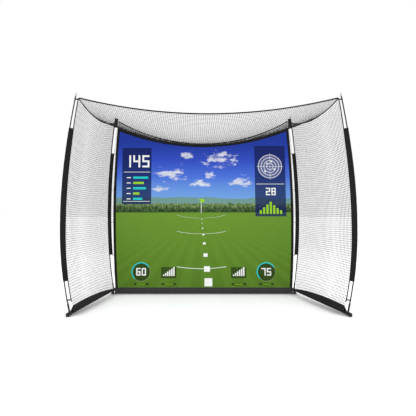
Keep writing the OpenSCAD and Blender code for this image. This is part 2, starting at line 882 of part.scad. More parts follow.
module bottom_flap_left() {
    left() bottom_flap_right();
}

// ---------------------------------------------------------------- side frames
// tongue between the bracket's cheeks, with a plug in the tube; the heel's flats meet the bracket's
// block when the frame stands splayed and when it stands square
module hinge_tongue_right() {
    color(steel) {
        difference() {
            translate([pin_x, pin_y, rear_z]) union() {
                intersection() {
                    rotate([0, 0, splay - 90])
                        translate([-tongue_heel - 2, -tongue_width / 2, -tongue_thick / 2])
                            cube([tongue_heel + 2 + tongue_reach, tongue_width, tongue_thick]);
                    heel_flats();
                }
                rotate([0, side_slope, splay - 90])
                    translate([tongue_reach - 4, 0, 0]) rotate([0, 90, 0])
                        cylinder(h = plug_length, r = plug_r);
            }
            translate([pin_x, pin_y, rear_z - tube_d])
                cylinder(h = 2 * tube_d, r = pin_d / 2 + pin_fit);
        }
    }
}

// the space that the tongue's heel may fill; its flats are the stops of the swing
module heel_flats() {
    reach = 4 * tongue_reach;
    intersection() {
        translate([-reach, -2 * reach, -tube_d]) cube([2 * reach, 2 * reach + tongue_heel - stop_gap, 2 * tube_d]);
        rotate([0, 0, splay])
            translate([-reach, -2 * reach, -tube_d])
                cube([2 * reach, 2 * reach + tongue_heel - stop_gap, 2 * tube_d]);
    }
}

module hinge_tongue_left() {
    left() hinge_tongue_right();
}

module side_tube_rear_right() {
    color(steel) along_side_tube()
        difference() {
            translate([0, 0, side_tube_start])
                pipe(side_joint - side_tube_start, tube_r, bore_r);
            button_hole(side_button_s);
        }
}

module side_tube_rear_left() {
    left() side_tube_rear_right();
}

module side_tube_front_right() {
    color(steel) along_side_tube() spigot_tube(side_joint + seat_gap, side_length);
}

module side_tube_front_left() {
    left() side_tube_front_right();
}

// collar on the side tube with the front pole's socket standing on it
module pole_socket_right() {
    color(steel)
        difference() {
            union() {
                in_side_frame() translate([socket_s - collar_half, 0, 0]) rotate([0, 90, 0])
                    cylinder(h = 2 * collar_half, r = tube_r + seat_gap + collar_wall);
                down_socket(front_mouth, front_lean, front_tilt)
                    cylinder(h = front_socket_run, r = socket_r);
            }
            in_side_frame() translate([socket_s - 2 * collar_half, 0, 0]) rotate([0, 90, 0])
                cylinder(h = 4 * collar_half, r = tube_r + seat_gap);
            down_socket(front_mouth, front_lean, front_tilt)
                translate([0, 0, -1]) cylinder(h = socket_depth + 1, r = socket_bore_r);
        }
}

module pole_socket_left() {
    left() pole_socket_right();
}

// rubber cap over the tube's end, with a flat foot on the ground
module foot_cap_right() {
    cap_r = tube_r + seat_gap + cap_wall;
    color(rubber)
        difference() {
            union() {
                in_side_frame() translate([side_length - cap_length, 0, 0]) rotate([0, 90, 0])
                    cylinder(h = cap_length + cap_wall, r = cap_r);
                translate([side_at(side_length - cap_length, 0, 0)[0],
                           side_at(side_length - cap_length, 0, 0)[1], 0])
                    rotate([0, 0, splay - 90])
                        translate([1, -cap_foot / 2, 0]) cube([cap_length, cap_foot, front_z]);
            }
            in_side_frame() translate([side_length - cap_length - 1, 0, 0]) rotate([0, 90, 0])
                cylinder(h = cap_length + 1 + seat_gap, r = tube_r + seat_gap);
        }
}

module foot_cap_left() {
    left() foot_cap_right();
}

// folded cloth round the side tube, rising to an arched edge that carries the side net
module side_skirt_right() {
    steps = 16;
    lean = tan(skirt_lean);
    peak = skirt_front + skirt_bow;
    color(cloth) in_side_frame()
        intersection() {
            translate([skirt_from, 0, 0]) rotate([90, 0, 90]) linear_extrude(skirt_to - skirt_from)
                difference() {
                    union() {
                        circle(r = tube_r + cloth_gap + skirt_cloth);
                        polygon([[-tube_r - cloth_gap - skirt_cloth, 0], [tube_r + cloth_gap + skirt_cloth, 0],
                                 [skirt_cloth - peak * lean, peak], [-skirt_cloth - peak * lean, peak]]);
                    }
                    circle(r = tube_r + cloth_gap);
                }
            difference() {
                translate([0, tube_d * 2, 0]) rotate([90, 0, 0]) linear_extrude(tube_d * 4)
                    polygon(concat([[skirt_from, -tube_d], [skirt_to, -tube_d]],
                                   [for (k = [steps : -1 : 0])
                                       [lerp(skirt_from, skirt_to, k / steps),
                                        skirt_height(k / steps)]]));
                // eyelet over the snap button
                translate([side_button_s, 0, 0]) rotate([-90, 0, 0])
                    cylinder(h = tube_d, r = eyelet_r);
            }
        }
}

module side_skirt_left() {
    left() side_skirt_right();
}

// ---------------------------------------------------------------- snap buttons
// own axes: origin on the tube's axis, +X along the tube, +Z out through its wall
flange_low = sqrt(pow(spigot_bore_r, 2) - pow(button_flange_r, 2)) - button_drop - button_flange;
module snap_button() {
    color(spring_steel) {
        translate([0, 0, flange_low]) cylinder(h = tube_r + button_proud - flange_low, r = button_r);
        translate([0, 0, flange_low]) cylinder(h = button_flange, r = button_flange_r);
    }
}

// bent leaf under the button, open towards the tube's end
module button_spring() {
    floor = -sqrt(pow(spigot_bore_r, 2) - pow(leaf_width / 2, 2)) + leaf_gap;
    top = flange_low - leaf_gap;
    flat = button_flange_r + 2;
    color(spring_steel) rotate([90, 0, 0]) translate([0, 0, -leaf_width / 2])
        linear_extrude(leaf_width)
            polygon([[-leaf_length, floor], [flat, floor], [flat, floor + leaf],
                     [-leaf_length + 2 * leaf, floor + leaf], [-flat + leaf / 2, top - leaf],
                     [flat, top - leaf], [flat, top], [-flat, top], [-leaf_length, floor + 2 * leaf]]);
}

module at_rear_button() {
    translate([rear_button_x, rear_tube_y, rear_z]) children();
}

module at_side_button() {
    in_side_frame() translate([side_button_s, 0, 0]) rotate([-90, 0, 0]) children();
}

module rear_button_right() {
    at_rear_button() snap_button();
}

module rear_button_left() {
    left() rear_button_right();
}

module rear_button_springs() {
    both() at_rear_button() mirror([1, 0, 0]) button_spring();
}

module side_button_right() {
    at_side_button() snap_button();
}

module side_button_left() {
    left() side_button_right();
}

module side_button_spring_right() {
    at_side_button() mirror([1, 0, 0]) button_spring();
}

module side_button_spring_left() {
    left() side_button_spring_right();
}

rear_tube_left();
rear_tube_centre();
rear_tube_right();
corner_bracket_left();
corner_bracket_right();
hinge_pins();
corner_feet();
rear_pole_left();
rear_pole_right();
rear_ferrules();
rear_tip_caps();
rear_sleeve_left();
rear_sleeve_right();
rear_pockets();
back_net();
roof_net();
roof_front_cord();
back_top_cord();
impact_screen();
screen_border();
bottom_flap_left();
bottom_flap_centre();
bottom_flap_right();
screen_ties();
rear_button_left();
rear_button_right();
rear_button_springs();
hinge_tongue_left();
side_tube_rear_left();
side_tube_front_left();
pole_socket_left();
foot_cap_left();
front_pole_left();
front_ferrules_left();
front_tip_cap_left();
front_sleeve_left();
edge_cord_left();
corner_loops_left();
seam_cord_left();
side_net_left();
side_skirt_left();
side_button_left();
side_button_spring_left();
hinge_tongue_right();
side_tube_rear_right();
side_tube_front_right();
pole_socket_right();
foot_cap_right();
front_pole_right();
front_ferrules_right();
front_tip_cap_right();
front_sleeve_right();
edge_cord_right();
corner_loops_right();
seam_cord_right();
side_net_right();
side_skirt_right();
side_button_right();
side_button_spring_right();
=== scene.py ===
import math

import bmesh
import bpy
import numpy as np
from mathutils import Matrix, Vector


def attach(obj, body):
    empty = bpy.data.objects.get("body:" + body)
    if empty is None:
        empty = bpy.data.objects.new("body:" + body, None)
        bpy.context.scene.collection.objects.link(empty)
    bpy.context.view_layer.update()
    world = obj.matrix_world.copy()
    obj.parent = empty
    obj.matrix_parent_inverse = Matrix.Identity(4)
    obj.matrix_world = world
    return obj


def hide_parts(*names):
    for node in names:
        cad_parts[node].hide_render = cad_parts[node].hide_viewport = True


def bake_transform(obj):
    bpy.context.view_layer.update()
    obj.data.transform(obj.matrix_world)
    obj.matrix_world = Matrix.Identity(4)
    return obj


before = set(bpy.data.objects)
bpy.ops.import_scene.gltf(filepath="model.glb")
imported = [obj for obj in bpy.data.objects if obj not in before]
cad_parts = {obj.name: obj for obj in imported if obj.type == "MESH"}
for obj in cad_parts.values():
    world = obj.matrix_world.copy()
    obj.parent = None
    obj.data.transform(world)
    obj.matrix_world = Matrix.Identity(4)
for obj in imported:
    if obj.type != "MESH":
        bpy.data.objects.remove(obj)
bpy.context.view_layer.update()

# ------------------------------------------------------------------ sizes, in metres
PIN = np.array([1.248, 0.396])
REAR_Z, FRONT_Z, SIDE_LENGTH = 0.058, 0.024, 1.130
SPLAY = math.radians(15.5)
SLOPE = math.asin((REAR_Z - FRONT_Z) / SIDE_LENGTH)
TUBE_R, BORE_R, WALL = 0.016, 0.0145, 0.0015
SPIGOT, SEAT_GAP = 0.090, 0.0002
CENTRE_HALF, REAR_END, SIDE_START, SIDE_SPLIT = 0.415, 1.2138, 0.044, 0.560
COLLAR_R, COLLAR_BORE, SOCKET_R, SOCKET_BORE = 0.0192, 0.0163, 0.0100, 0.0075
TONGUE_HALF, CHEEK_GAP, CHEEK_R, CHEEK_BACK = 0.007, 0.00025, 0.020, 0.048
REAR_Y = PIN[1] + 0.048
ROD, RODS = 0.785, 3
POLE_R = 0.007
SLEEVE_R, WEB, WEB_HALF, HOLE_GIRTH = 0.0115, 0.041, 0.0013, 0.07
FRONT_SLEEVE, REAR_SLEEVE = (0.245, 1.960), (0.385, 1.815)
CORD_R = 0.003
SCREEN_FOOT, SCREEN_TOP, SCREEN_SIDE, SCREEN_BOW = 2.420, 2.430, 2.235, 0.042
SCREEN_FOOT_Z, SCREEN_SAG, SCREEN_AHEAD = 0.088, 0.243, 0.014
MESH, STRAND_R, BORDER_R, NET_ROUGHEN = 0.026, 0.0015, 0.0016, 0.06
CORD_GAP, NET_GAP, WRAP_GAP = 0.0004, 0.0009, 0.0006


# ------------------------------------------------------------------ small maths
def lerp(a, b, t):
    """The value at a share t of the way from a to b."""
    return a + (b - a) * t


def dip(t, span, sag):
    """How far a circular arc over a span lies under its chord at a share t of the span."""
    r = (span * span / 4 + sag * sag) / (2 * sag)
    x = (np.asarray(t) - 0.5) * span
    return np.sqrt(r * r - x * x) - r + sag


def smooth(t):
    """Eases a share from 0 to 1 in and out."""
    t = np.clip(t, 0, 1)
    return t * t * (3 - 2 * t)


def waves(x, seed, count=5, low=1.0, high=9.0):
    """A smooth repeatable wobble of about -1 to 1 along x."""
    rng = np.random.default_rng(seed)
    out = 0
    for _ in range(count):
        f, p = rng.uniform(low, high), rng.uniform(0, 2 * math.pi)
        out = out + np.sin(np.asarray(x) * f + p) / math.sqrt(f / low)
    return out / math.sqrt(count)


class Bow:
    """One bowed pole: three rods, each an arc, in a plane that is tilted back."""

    def __init__(self, mouth, lean, bends, tilt, side):
        self.mouth = np.array(mouth)
        self.lean, self.bends, self.tilt, self.side = lean, bends, math.radians(tilt), side

    def flat(self, s):
        x = z = 0.0
        lean = math.radians(self.lean)
        for i, bend in enumerate(self.bends):
            last = i == RODS - 1
            run = s - i * ROD
            if run <= 0 and i:
                break
            if not last:
                run = min(run, ROD)
            r = ROD / math.radians(bend)
            end = lean - run / r
            x += r * (math.cos(end) - math.cos(lean))
            z += r * (math.sin(lean) - math.sin(end))
            lean = end
        return x, z, lean

    def row(self, x, y, z):
        c, s = math.cos(self.tilt), math.sin(self.tilt)
        p = self.mouth + np.array([x, y * c + z * s, z * c - y * s])
        return np.array([p[0] * self.side, p[1], p[2]])

    def at(self, s, out=0.0, back=0.0):
        x, z, lean = self.flat(s)
        return self.row(x + out * math.cos(lean), back, z - out * math.sin(lean))

    def axes(self, s):
        """Unit vectors outward, backward and up the pole."""
        o = self.at(s)
        out = self.at(s, 0.001) - o
        back = self.at(s, 0, 0.001) - o
        out, back = out / np.linalg.norm(out), back / np.linalg.norm(back)
        up = np.cross(out, back) * self.side
        return out, back, up


def side_at(side, along, outward, up):
    """A point of a side frame: along its tube from the pin, outward from it and up."""
    flat = along * math.cos(SLOPE) + up * math.sin(SLOPE)
    return np.array([
        side * (PIN[0] + flat * math.sin(SPLAY) + outward * math.cos(SPLAY)),
        PIN[1] - flat * math.cos(SPLAY) + outward * math.sin(SPLAY),
        REAR_Z - along * math.sin(SLOPE) + up * math.cos(SLOPE)])


SOCKET_S = SIDE_LENGTH - 0.050
FRONT_LEAN, FRONT_TILT, FRONT_RUN, REAR_TILT = 11.5, 1.2, 0.112, 5.7
_a, _b = math.radians(FRONT_LEAN), math.radians(FRONT_TILT)
FRONT_MOUTH = side_at(1, SOCKET_S, 0, 0) + FRONT_RUN * np.array(
    [math.sin(_a), math.cos(_a) * math.sin(_b), math.cos(_a) * math.cos(_b)])
REAR_MOUTH = np.array([PIN[0] + 0.004, REAR_Y + 0.006, REAR_Z + 0.089])
FRONT = {s: Bow(FRONT_MOUTH, FRONT_LEAN, (11, 7, 5), FRONT_TILT, s) for s in (-1, 1)}
REAR = {s: Bow(REAR_MOUTH, 8.5, (6.5, 5, 4), REAR_TILT, s) for s in (-1, 1)}
SIDES = ((-1, "left"), (1, "right"))


# ------------------------------------------------------------------ mesh helpers
def make(name, verts, faces, material, body=None, cad=(), slot=None, angle=40, uv=None):
    """A finished object at the origin, smooth but for its sharp edges."""
    mesh = bpy.data.meshes.new(name)
    mesh.from_pydata([tuple(v) for v in np.asarray(verts, float)], [], [tuple(f) for f in faces])
    mesh.validate()
    bm = bmesh.new()
    bm.from_mesh(mesh)
    bmesh.ops.recalc_face_normals(bm, faces=bm.faces)
    bm.to_mesh(mesh)
    bm.free()
    return finish(name, mesh, material, body, cad, angle, uv)


def finish(name, mesh, material, body=None, cad=(), angle=40, uv=None):
    """Names and paints one visible piece, puts it on its body and hides the CAD parts that it
    stands for.
    """
    mesh.polygons.foreach_set("use_smooth", [True] * len(mesh.polygons))
    mesh.set_sharp_from_angle(angle=math.radians(angle))
    if uv is not None:
        layer = mesh.attributes.new("cloth_uv", "FLOAT_VECTOR", "POINT")
        layer.data.foreach_set("vector", np.asarray(uv, np.float32).reshape(-1))
    mesh.materials.clear()
    for m in material if isinstance(material, (list, tuple)) else [material]:
        mesh.materials.append(m)
    obj = bpy.data.objects.new(name, mesh)
    bpy.context.scene.collection.objects.link(obj)
    if body:
        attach(obj, body)
    if cad:
        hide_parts(*([cad] if isinstance(cad, str) else cad))
    return obj


class Shape:
    """Collects pieces of mesh that become one object."""

    def __init__(self):
        self.v, self.f, self.u = [], [], []
        self.n = 0

    def add(self, verts, faces, uv=None):
        verts = np.asarray(verts, float).reshape(-1, 3)
        self.v.append(verts)
        self.f += [tuple(i + self.n for i in f) for f in faces]
        self.u.append(np.zeros((len(verts), 3)) if uv is None else np.asarray(uv, float))
        self.n += len(verts)
        return self

    def grid(self, points, uv=None, wrap=False, cap=False):
        """A sheet of quads from rows of points; wrap closes each row into a ring."""
        points = np.asarray(points, float)
        rows, cols = points.shape[:2]
        faces = []
        for j in range(rows - 1):
            for i in range(cols if wrap else cols - 1):
                k = (i + 1) % cols
                a = j * cols
                faces.append((a + i, a + k, a + cols + k, a + cols + i))
        if cap:
            faces.append(tuple(range(cols))[::-1])
            faces.append(tuple((rows - 1) * cols + i for i in range(cols)))
        return self.add(points.reshape(-1, 3), faces,
                        None if uv is None else np.asarray(uv, float).reshape(-1, 3))

    def turned(self, profile, start, axis, sides=28, cap=False):
        """A turned piece, from (distance, radius) pairs along an axis."""
        return self.grid(lathe(profile, start, axis, sides), wrap=True, cap=cap)

    def box(self, size, edge, centre, u=(1, 0, 0), v=(0, 1, 0)):
        """An upright box with bevelled edges; its length runs along u and its width along v."""
        return self.add(*placed(box_mesh(size, edge), u, v, (0, 0, 1), centre))

    def make(self, name, material, **kw):
        uv = np.concatenate(self.u) if any(np.any(u) for u in self.u) else None
        return make(name, np.concatenate(self.v), self.f, material, uv=uv, **kw)


def basis(axis):
    """Three unit vectors, the last along an axis."""
    w = np.asarray(axis, float)
    w = w / np.linalg.norm(w)
    u = np.cross((0, 0, 1), w)
    if np.linalg.norm(u) < 1e-6:
        u = np.cross((0, 1, 0), w)
    u = u / np.linalg.norm(u)
    return u, np.cross(w, u), w


def lathe(profile, start, axis, sides):
    """Rings round an axis from (distance, radius) pairs."""
    u, v, w = basis(axis)
    t = np.linspace(0, 2 * math.pi, sides, endpoint=False)
    rows = [np.asarray(start) + d * w + r * (np.cos(t)[:, None] * u + np.sin(t)[:, None] * v)
            for d, r in profile]
    return np.array(rows)


def tube_profile(length, r, inner, edge=0.0006):
    """A pipe's near rim, its outside, its far rim and the plug set back in its far end."""
    return [(0, inner), (0, r - edge), (edge, r), (length - edge, r), (length, r - edge),
            (length, inner), (length - 0.04, inner), (length - 0.04, 0.0005)]


def box_mesh(size, edge=0.0012):
    """A box round its own centre with small bevelled edges."""
    bm = bmesh.new()
    bmesh.ops.create_cube(bm, size=1)
    bmesh.ops.scale(bm, vec=size, verts=bm.verts)
    bmesh.ops.bevel(bm, geom=bm.edges[:], offset=edge, segments=2, profile=0.5, affect="EDGES")
    verts = np.array([v.co[:] for v in bm.verts])
    faces = [[v.index for v in f.verts] for f in bm.faces]
    bm.free()
    return verts, faces


def placed(mesh, u, v, w, origin):
    """A mesh moved to an origin, with its axes along u, v and w."""
    verts, faces = mesh
    return np.asarray(origin) + verts @ np.array([u, v, w]), faces


def run_length(path):
    """The distance along a path at each of its points."""
    return np.concatenate([[0], np.cumsum(np.linalg.norm(np.diff(path, axis=0), axis=1))])


def flat_uv(a, b):
    """Cloth coordinates of one row; a or b may be one number for all of it."""
    return np.stack(np.broadcast_arrays(a, b, 0.0), -1)


def creases(seed, low, high, slant, count=8):
    """Frequencies, phases and slants of a cloth's small folds."""
    rng = np.random.default_rng(seed)
    return [rng.uniform(*ends, count) for ends in ((low, high), (0, 6.28), (-slant, slant))]


def crease_at(folds, x, a, turn=1):
    """How the folds lift a cloth at a distance x along it, for shares a of its girth."""
    return sum(np.sin(f * x + p + g * a * turn) for f, p, g in zip(*folds)) / len(folds[0])


# ------------------------------------------------------------------ materials
class Graph:
    """A node material that is built by short calls; every value given may be a socket."""

    def __init__(self, name):
        self.mat = bpy.data.materials.new(name)
        self.mat.use_nodes = True
        self.tree = self.mat.node_tree
        self.tree.nodes.clear()
        self.out = self.tree.nodes.new("ShaderNodeOutputMaterial")
        self.shader = self.tree.nodes.new("ShaderNodeBsdfPrincipled")
        self.tree.links.new(self.shader.outputs[0], self.out.inputs[0])
        self.place = self.node("TexCoord").outputs["Object"]

    def node(self, kind, **props):
        n = self.tree.nodes.new("ShaderNode" + kind)
        for k, v in props.items():
            setattr(n, k, v)
        return n

    def put(self, socket, value):
        if isinstance(value, bpy.types.NodeSocket):
            self.tree.links.new(value, socket)
        elif isinstance(value, (tuple, list)) and len(value) == 3 and socket.type == "RGBA":
            socket.default_value = (*value, 1)
        else:
            socket.default_value = value
        return self

    def math(self, op, a, b=0.0, c=0.0, clamp=False):
        n = self.node("Math", operation=op, use_clamp=clamp)
        for i, v in enumerate((a, b, c)):
            self.put(n.inputs[i], v)
        return n.outputs[0]

    def add(self, a, b):
        return self.math("ADD", a, b)

    def sub(self, a, b):
        return self.math("SUBTRACT", a, b)

    def mul(self, a, b):
        return self.math("MULTIPLY", a, b)

    def mix(self, t, a, b, blend="MIX"):
        n = self.node("Mix", data_type="RGBA", blend_type=blend)
        self.put(n.inputs[0], t).put(n.inputs[6], a).put(n.inputs[7], b)
        return n.outputs[2]

    def scaled(self, vector, scale, offset=(0, 0, 0)):
        n = self.node("Mapping")
        self.put(n.inputs["Vector"], vector)
        n.inputs["Scale"].default_value = scale
        n.inputs["Location"].default_value = offset
        return n.outputs[0]

    def noise(self, scale, detail=3.0, rough=0.5, vector=None, stretch=None):
        vector = self.place if vector is None else vector
        if stretch:
            vector = self.scaled(vector, stretch)
        n = self.node("TexNoise")
        self.put(n.inputs["Vector"], vector)
        n.inputs["Scale"].default_value = scale
        n.inputs["Detail"].default_value = detail
        n.inputs["Roughness"].default_value = rough
        return n.outputs[0]

    def wave(self, scale, vector, direction="X", distort=0.0, kind="BANDS", profile="SIN"):
        n = self.node("TexWave", wave_type=kind, bands_direction=direction, wave_profile=profile)
        self.put(n.inputs["Vector"], vector)
        n.inputs["Scale"].default_value = scale
        n.inputs["Distortion"].default_value = distort
        return n.outputs[1]

    def step(self, value, low, high, out_low=0.0, out_high=1.0):
        n = self.node("MapRange", interpolation_type="SMOOTHSTEP")
        for i, v in enumerate((value, low, high, out_low, out_high)):
            self.put(n.inputs[i], v)
        return n.outputs[0]

    def ramp(self, value, stops, mode="LINEAR"):
        n = self.node("ValToRGB")
        n.color_ramp.interpolation = mode
        self.put(n.inputs[0], value)
        e = n.color_ramp.elements
        while len(e) < len(stops):
            e.new(0.5)
        for item, (at, color) in zip(e, stops):
            item.position = at
            item.color = (*color, 1)
        return n.outputs[0]

    def split(self, vector):
        n = self.node("SeparateXYZ")
        self.put(n.inputs[0], vector)
        return n.outputs[0], n.outputs[1], n.outputs[2]

    def join(self, x, y, z):
        n = self.node("CombineXYZ")
        for i, v in enumerate((x, y, z)):
            self.put(n.inputs[i], v)
        return n.outputs[0]

    def cloth(self):
        return self.node("Attribute", attribute_name="cloth_uv").outputs["Vector"]

    def bump(self, height, strength=0.3, distance=0.001, below=None):
        n = self.node("Bump")
        n.inputs["Strength"].default_value = strength
        n.inputs["Distance"].default_value = distance
        self.put(n.inputs["Height"], height)
        if below is not None:
            self.put(n.inputs["Normal"], below)
        return n.outputs[0]

    def done(self, color, rough, metal=0.0, normal=None, **more):
        self.put(self.shader.inputs["Base Color"], color)
        self.put(self.shader.inputs["Roughness"], rough)
        self.put(self.shader.inputs["Metallic"], metal)
        if normal is not None:
            self.put(self.shader.inputs["Normal"], normal)
        for k, v in more.items():
            self.put(self.shader.inputs[k.replace("_", " ")], v)
        return self.mat


def grey(v, warm=0.0):
    """A neutral tone, made a little warmer or cooler."""
    return (v + warm, v, v - warm)


def powder_coat():
    """Black baked paint: fine orange peel, dust and a few rubbed places."""
    g = Graph("powder_coat")
    peel = g.noise(900, 2)
    dust = g.noise(14, 5, 0.65)
    rub = g.step(g.noise(60, 6, 0.7), 0.62, 0.7)
    color = g.mix(g.mul(dust, 0.5), grey(0.009), grey(0.020, 0.001))
    color = g.mix(g.mul(rub, 0.25), color, grey(0.055))
    rough = g.add(g.mul(dust, 0.18), 0.36)
    return g.done(color, rough, 0.0, g.bump(peel, 0.12, 0.0004), Specular_IOR_Level=0.3)


def zinc():
    """Bright zinc plating with its grain."""
    g = Graph("zinc")
    cells = g.node("TexVoronoi")
    g.put(cells.inputs["Vector"], g.place)
    cells.inputs["Scale"].default_value = 220
    tone = g.mix(g.mul(cells.outputs["Distance"], 0.6), grey(0.42), grey(0.62, -0.004))
    rough = g.add(g.mul(g.noise(160, 4), 0.2), 0.3)
    return g.done(tone, rough, 0.95, g.bump(g.noise(700, 2), 0.1, 0.0003))


def dark_ferrule():
    """Dark drawn steel with fine lines along it."""
    g = Graph("dark_ferrule")
    lines = g.noise(60, 4, 0.6, stretch=(30, 30, 1))
    color = g.mix(lines, grey(0.05), grey(0.11, -0.002))
    return g.done(color, g.add(g.mul(lines, 0.2), 0.3), 0.85, g.bump(lines, 0.15, 0.0003))


def fibre_rod():
    """Pultruded rod: long faint glass lines under a clear dark resin."""
    g = Graph("fibre_rod")
    lines = g.noise(260, 3, 0.6, stretch=(1, 1, 0.02))
    patch = g.noise(9, 3)
    color = g.mix(lines, (0.014, 0.0145, 0.016), (0.040, 0.041, 0.043))
    color = g.mix(g.mul(patch, 0.3), color, grey(0.025))
    rough = g.add(g.mul(patch, 0.15), 0.28)
    return g.done(color, rough, 0.0, g.bump(lines, 0.1, 0.0003), Coat_Weight=0.05,
                  Coat_Roughness=0.25, Specular_IOR_Level=0.2)


def tip_plastic():
    """Matt grey moulded plastic with scuffs."""
    g = Graph("tip_plastic")
    skin = g.noise(500, 3)
    mark = g.noise(40, 5, 0.7)
    color = g.mix(mark, grey(0.40, 0.004), grey(0.52, 0.003))
    return g.done(color, g.add(g.mul(skin, 0.2), 0.45), 0.0, g.bump(skin, 0.15, 0.0003))


def rubber():
    """Black rubber with a dusty bloom."""
    g = Graph("rubber")
    skin = g.noise(420, 4, 0.6)
    dust = g.step(g.noise(22, 5, 0.65), 0.35, 0.8)
    color = g.mix(g.mul(dust, 0.6), grey(0.009), grey(0.028, 0.002))
    return g.done(color, g.add(g.mul(dust, 0.2), 0.62), 0.0, g.bump(skin, 0.25, 0.0005),
                  Specular_IOR_Level=0.3)


def woven(name, dark, light, pitch=0.0011, rib=0.0, sheen=0.04, crease=0.0016):
    """Cloth with its threads along the sheet's own axes, plus soft creases."""
    g = Graph(name)
    uv = g.cloth()
    u, v, _ = g.split(uv)
    a = g.math("SINE", g.mul(u, 2 * math.pi / pitch))
    b = g.math("SINE", g.mul(v, 2 * math.pi / (pitch * (1 + 2 * rib))))
    weave = g.mul(a, b) if not rib else b
    weave = g.add(g.mul(weave, 0.5), 0.5)
    soil = g.noise(7, 5, 0.6, vector=uv)
    fuzz = g.noise(900, 2, vector=uv)
    color = g.mix(weave, dark, light)
    color = g.mix(g.mul(soil, 0.55), color, tuple(0.5 * (x + y) for x, y in zip(dark, light)))
    color = g.mix(g.mul(fuzz, 0.25), color, tuple(1.25 * x for x in light))
    folds = g.noise(26, 4, 0.55, vector=uv, stretch=(1, 0.35, 1))
    n = g.bump(folds, 0.5, crease)
    n = g.bump(weave, 0.35, 0.0003, n)
    return g.done(color, g.add(g.mul(soil, 0.12), 0.74), 0.0, n, Sheen_Weight=sheen,
                  Sheen_Roughness=0.5, Specular_IOR_Level=0.1)


def net_twine():
    """Twisted black twine, faded in places."""
    g = Graph("net_twine")
    twist = g.noise(700, 2)
    fade = g.noise(5, 3)
    color = g.mix(twist, grey(0.008), grey(0.022))
    color = g.mix(g.mul(fade, 0.4), color, grey(0.014, 0.001))
    return g.done(color, g.add(g.mul(twist, 0.2), 0.6), 0.0, g.bump(twist, 0.3, 0.0004),
                  Specular_IOR_Level=0.15)


def braid():
    """Braided black cord."""
    g = Graph("braid")
    a = g.wave(260, g.place, "DIAGONAL", 1.5)
    soil = g.noise(20, 4)
    color = g.mix(a, grey(0.006), grey(0.020))
    color = g.mix(g.mul(soil, 0.4), color, grey(0.014))
    return g.done(color, g.add(g.mul(soil, 0.1), 0.7), 0.0, g.bump(a, 0.5, 0.0006),
                  Specular_IOR_Level=0.15)


M_PAINT, M_ZINC, M_FERRULE = powder_coat(), zinc(), dark_ferrule()
M_ROD, M_TIP, M_RUBBER = fibre_rod(), tip_plastic(), rubber()
M_CLOTH = woven("sleeve_cloth", grey(0.006), grey(0.016))
M_FLAP = woven("flap_cloth", grey(0.026), grey(0.052), pitch=0.0014, crease=0.003)
M_SKIRT = woven("skirt_cloth", grey(0.007), grey(0.018), pitch=0.0014, crease=0.003)
M_WEBBING = woven("webbing", grey(0.005), grey(0.014), pitch=0.0018, rib=0.4)
M_NET, M_BRAID = net_twine(), braid()


def rgb(r, g, b):
    """A screen colour as the linear values that nodes take."""
    return tuple((c / 255 / 12.92 if c < 10.3 else ((c / 255 + 0.055) / 1.055) ** 2.4)
                 for c in (r, g, b))


# strokes of block digits on a grid one wide and two high, as (x, y, half width, half height)
BARS = {"a": (0.5, 2, 0.5, 0), "b": (1, 1.5, 0, 0.5), "c": (1, 0.5, 0, 0.5), "d": (0.5, 0, 0.5, 0),
        "e": (0, 0.5, 0, 0.5), "f": (0, 1.5, 0, 0.5), "g": (0.5, 1, 0.5, 0)}
DIGITS = {"0": "abcdef", "1": "bc", "2": "abged", "4": "fgbc", "5": "afgcd", "6": "afgedc",
          "7": "abc", "8": "abcdefg"}


# inks, the point that the lane runs to and the pitch of the printed cloth's threads
WHITE, LIME, NAVY = rgb(240, 243, 240), rgb(150, 205, 40), rgb(20, 30, 84)
CYAN, DARK = rgb(40, 200, 200), rgb(22, 34, 18)
AIM_X, AIM_Y, PRINT_PITCH = -0.03, 1.06, 0.0016


class Print(Graph):
    """A printed range scene; u runs across from the middle and v up from the foot, in metres."""

    def __init__(self, name):
        super().__init__(name)
        self.uv = self.cloth()
        self.u, self.v, _ = self.split(self.uv)
        self.color = None

    def lay(self, mask, tone, share=None):
        """Prints a tone over what is there, wholly or by a share."""
        self.color = self.mix(mask if share is None else self.mul(mask, share), self.color, tone)

    def weave(self):
        """The cloth's threads, from -1 to 1."""
        turn = 2 * math.pi / PRINT_PITCH
        return self.mul(*(self.math("SINE", self.mul(at, turn)) for at in (self.u, self.v)))

    def below_ridge(self, height, blur, layer, *noise):
        """All that lies below an uneven line about a height."""
        swing = self.sub(self.noise(*noise, vector=self.join(self.u, 0.0, layer)), 0.5)
        line = self.add(height, self.mul(swing, 0.13))
        return self.step(self.v, self.add(line, blur), self.sub(line, blur))

    def disc(self, x, y, r):
        return self.math("LESS_THAN", self.reach(x, y), r)

    def rect(self, x, y, half_w, half_h):
        return self.mul(self.math("COMPARE", self.u, x, half_w),
                        self.math("COMPARE", self.v, y, half_h))

    def any(self, masks):
        out = masks[0]
        for m in masks[1:]:
            out = self.math("MAXIMUM", out, m)
        return out

    def reach(self, x, y, flat=1.0):
        """Distance from a point, with heights stretched by flat."""
        du = self.math("POWER", self.sub(self.u, x), 2.0)
        dv = self.math("POWER", self.mul(self.sub(self.v, y), flat), 2.0)
        return self.math("SQRT", self.add(du, dv))

    def ring(self, x, y, r, half, flat=1.0):
        return self.math("COMPARE", self.reach(x, y, flat), r, half)

    def number(self, text, x, y, w, stroke):
        masks = []
        for i, c in enumerate(text):
            for bar in DIGITS[c]:
                bx, by, hw, hh = BARS[bar]
                masks.append(self.rect(x + i * w * 1.75 + bx * w, y + by * w,
                                       hw * w + stroke, hh * w + stroke))
        return self.any(masks)


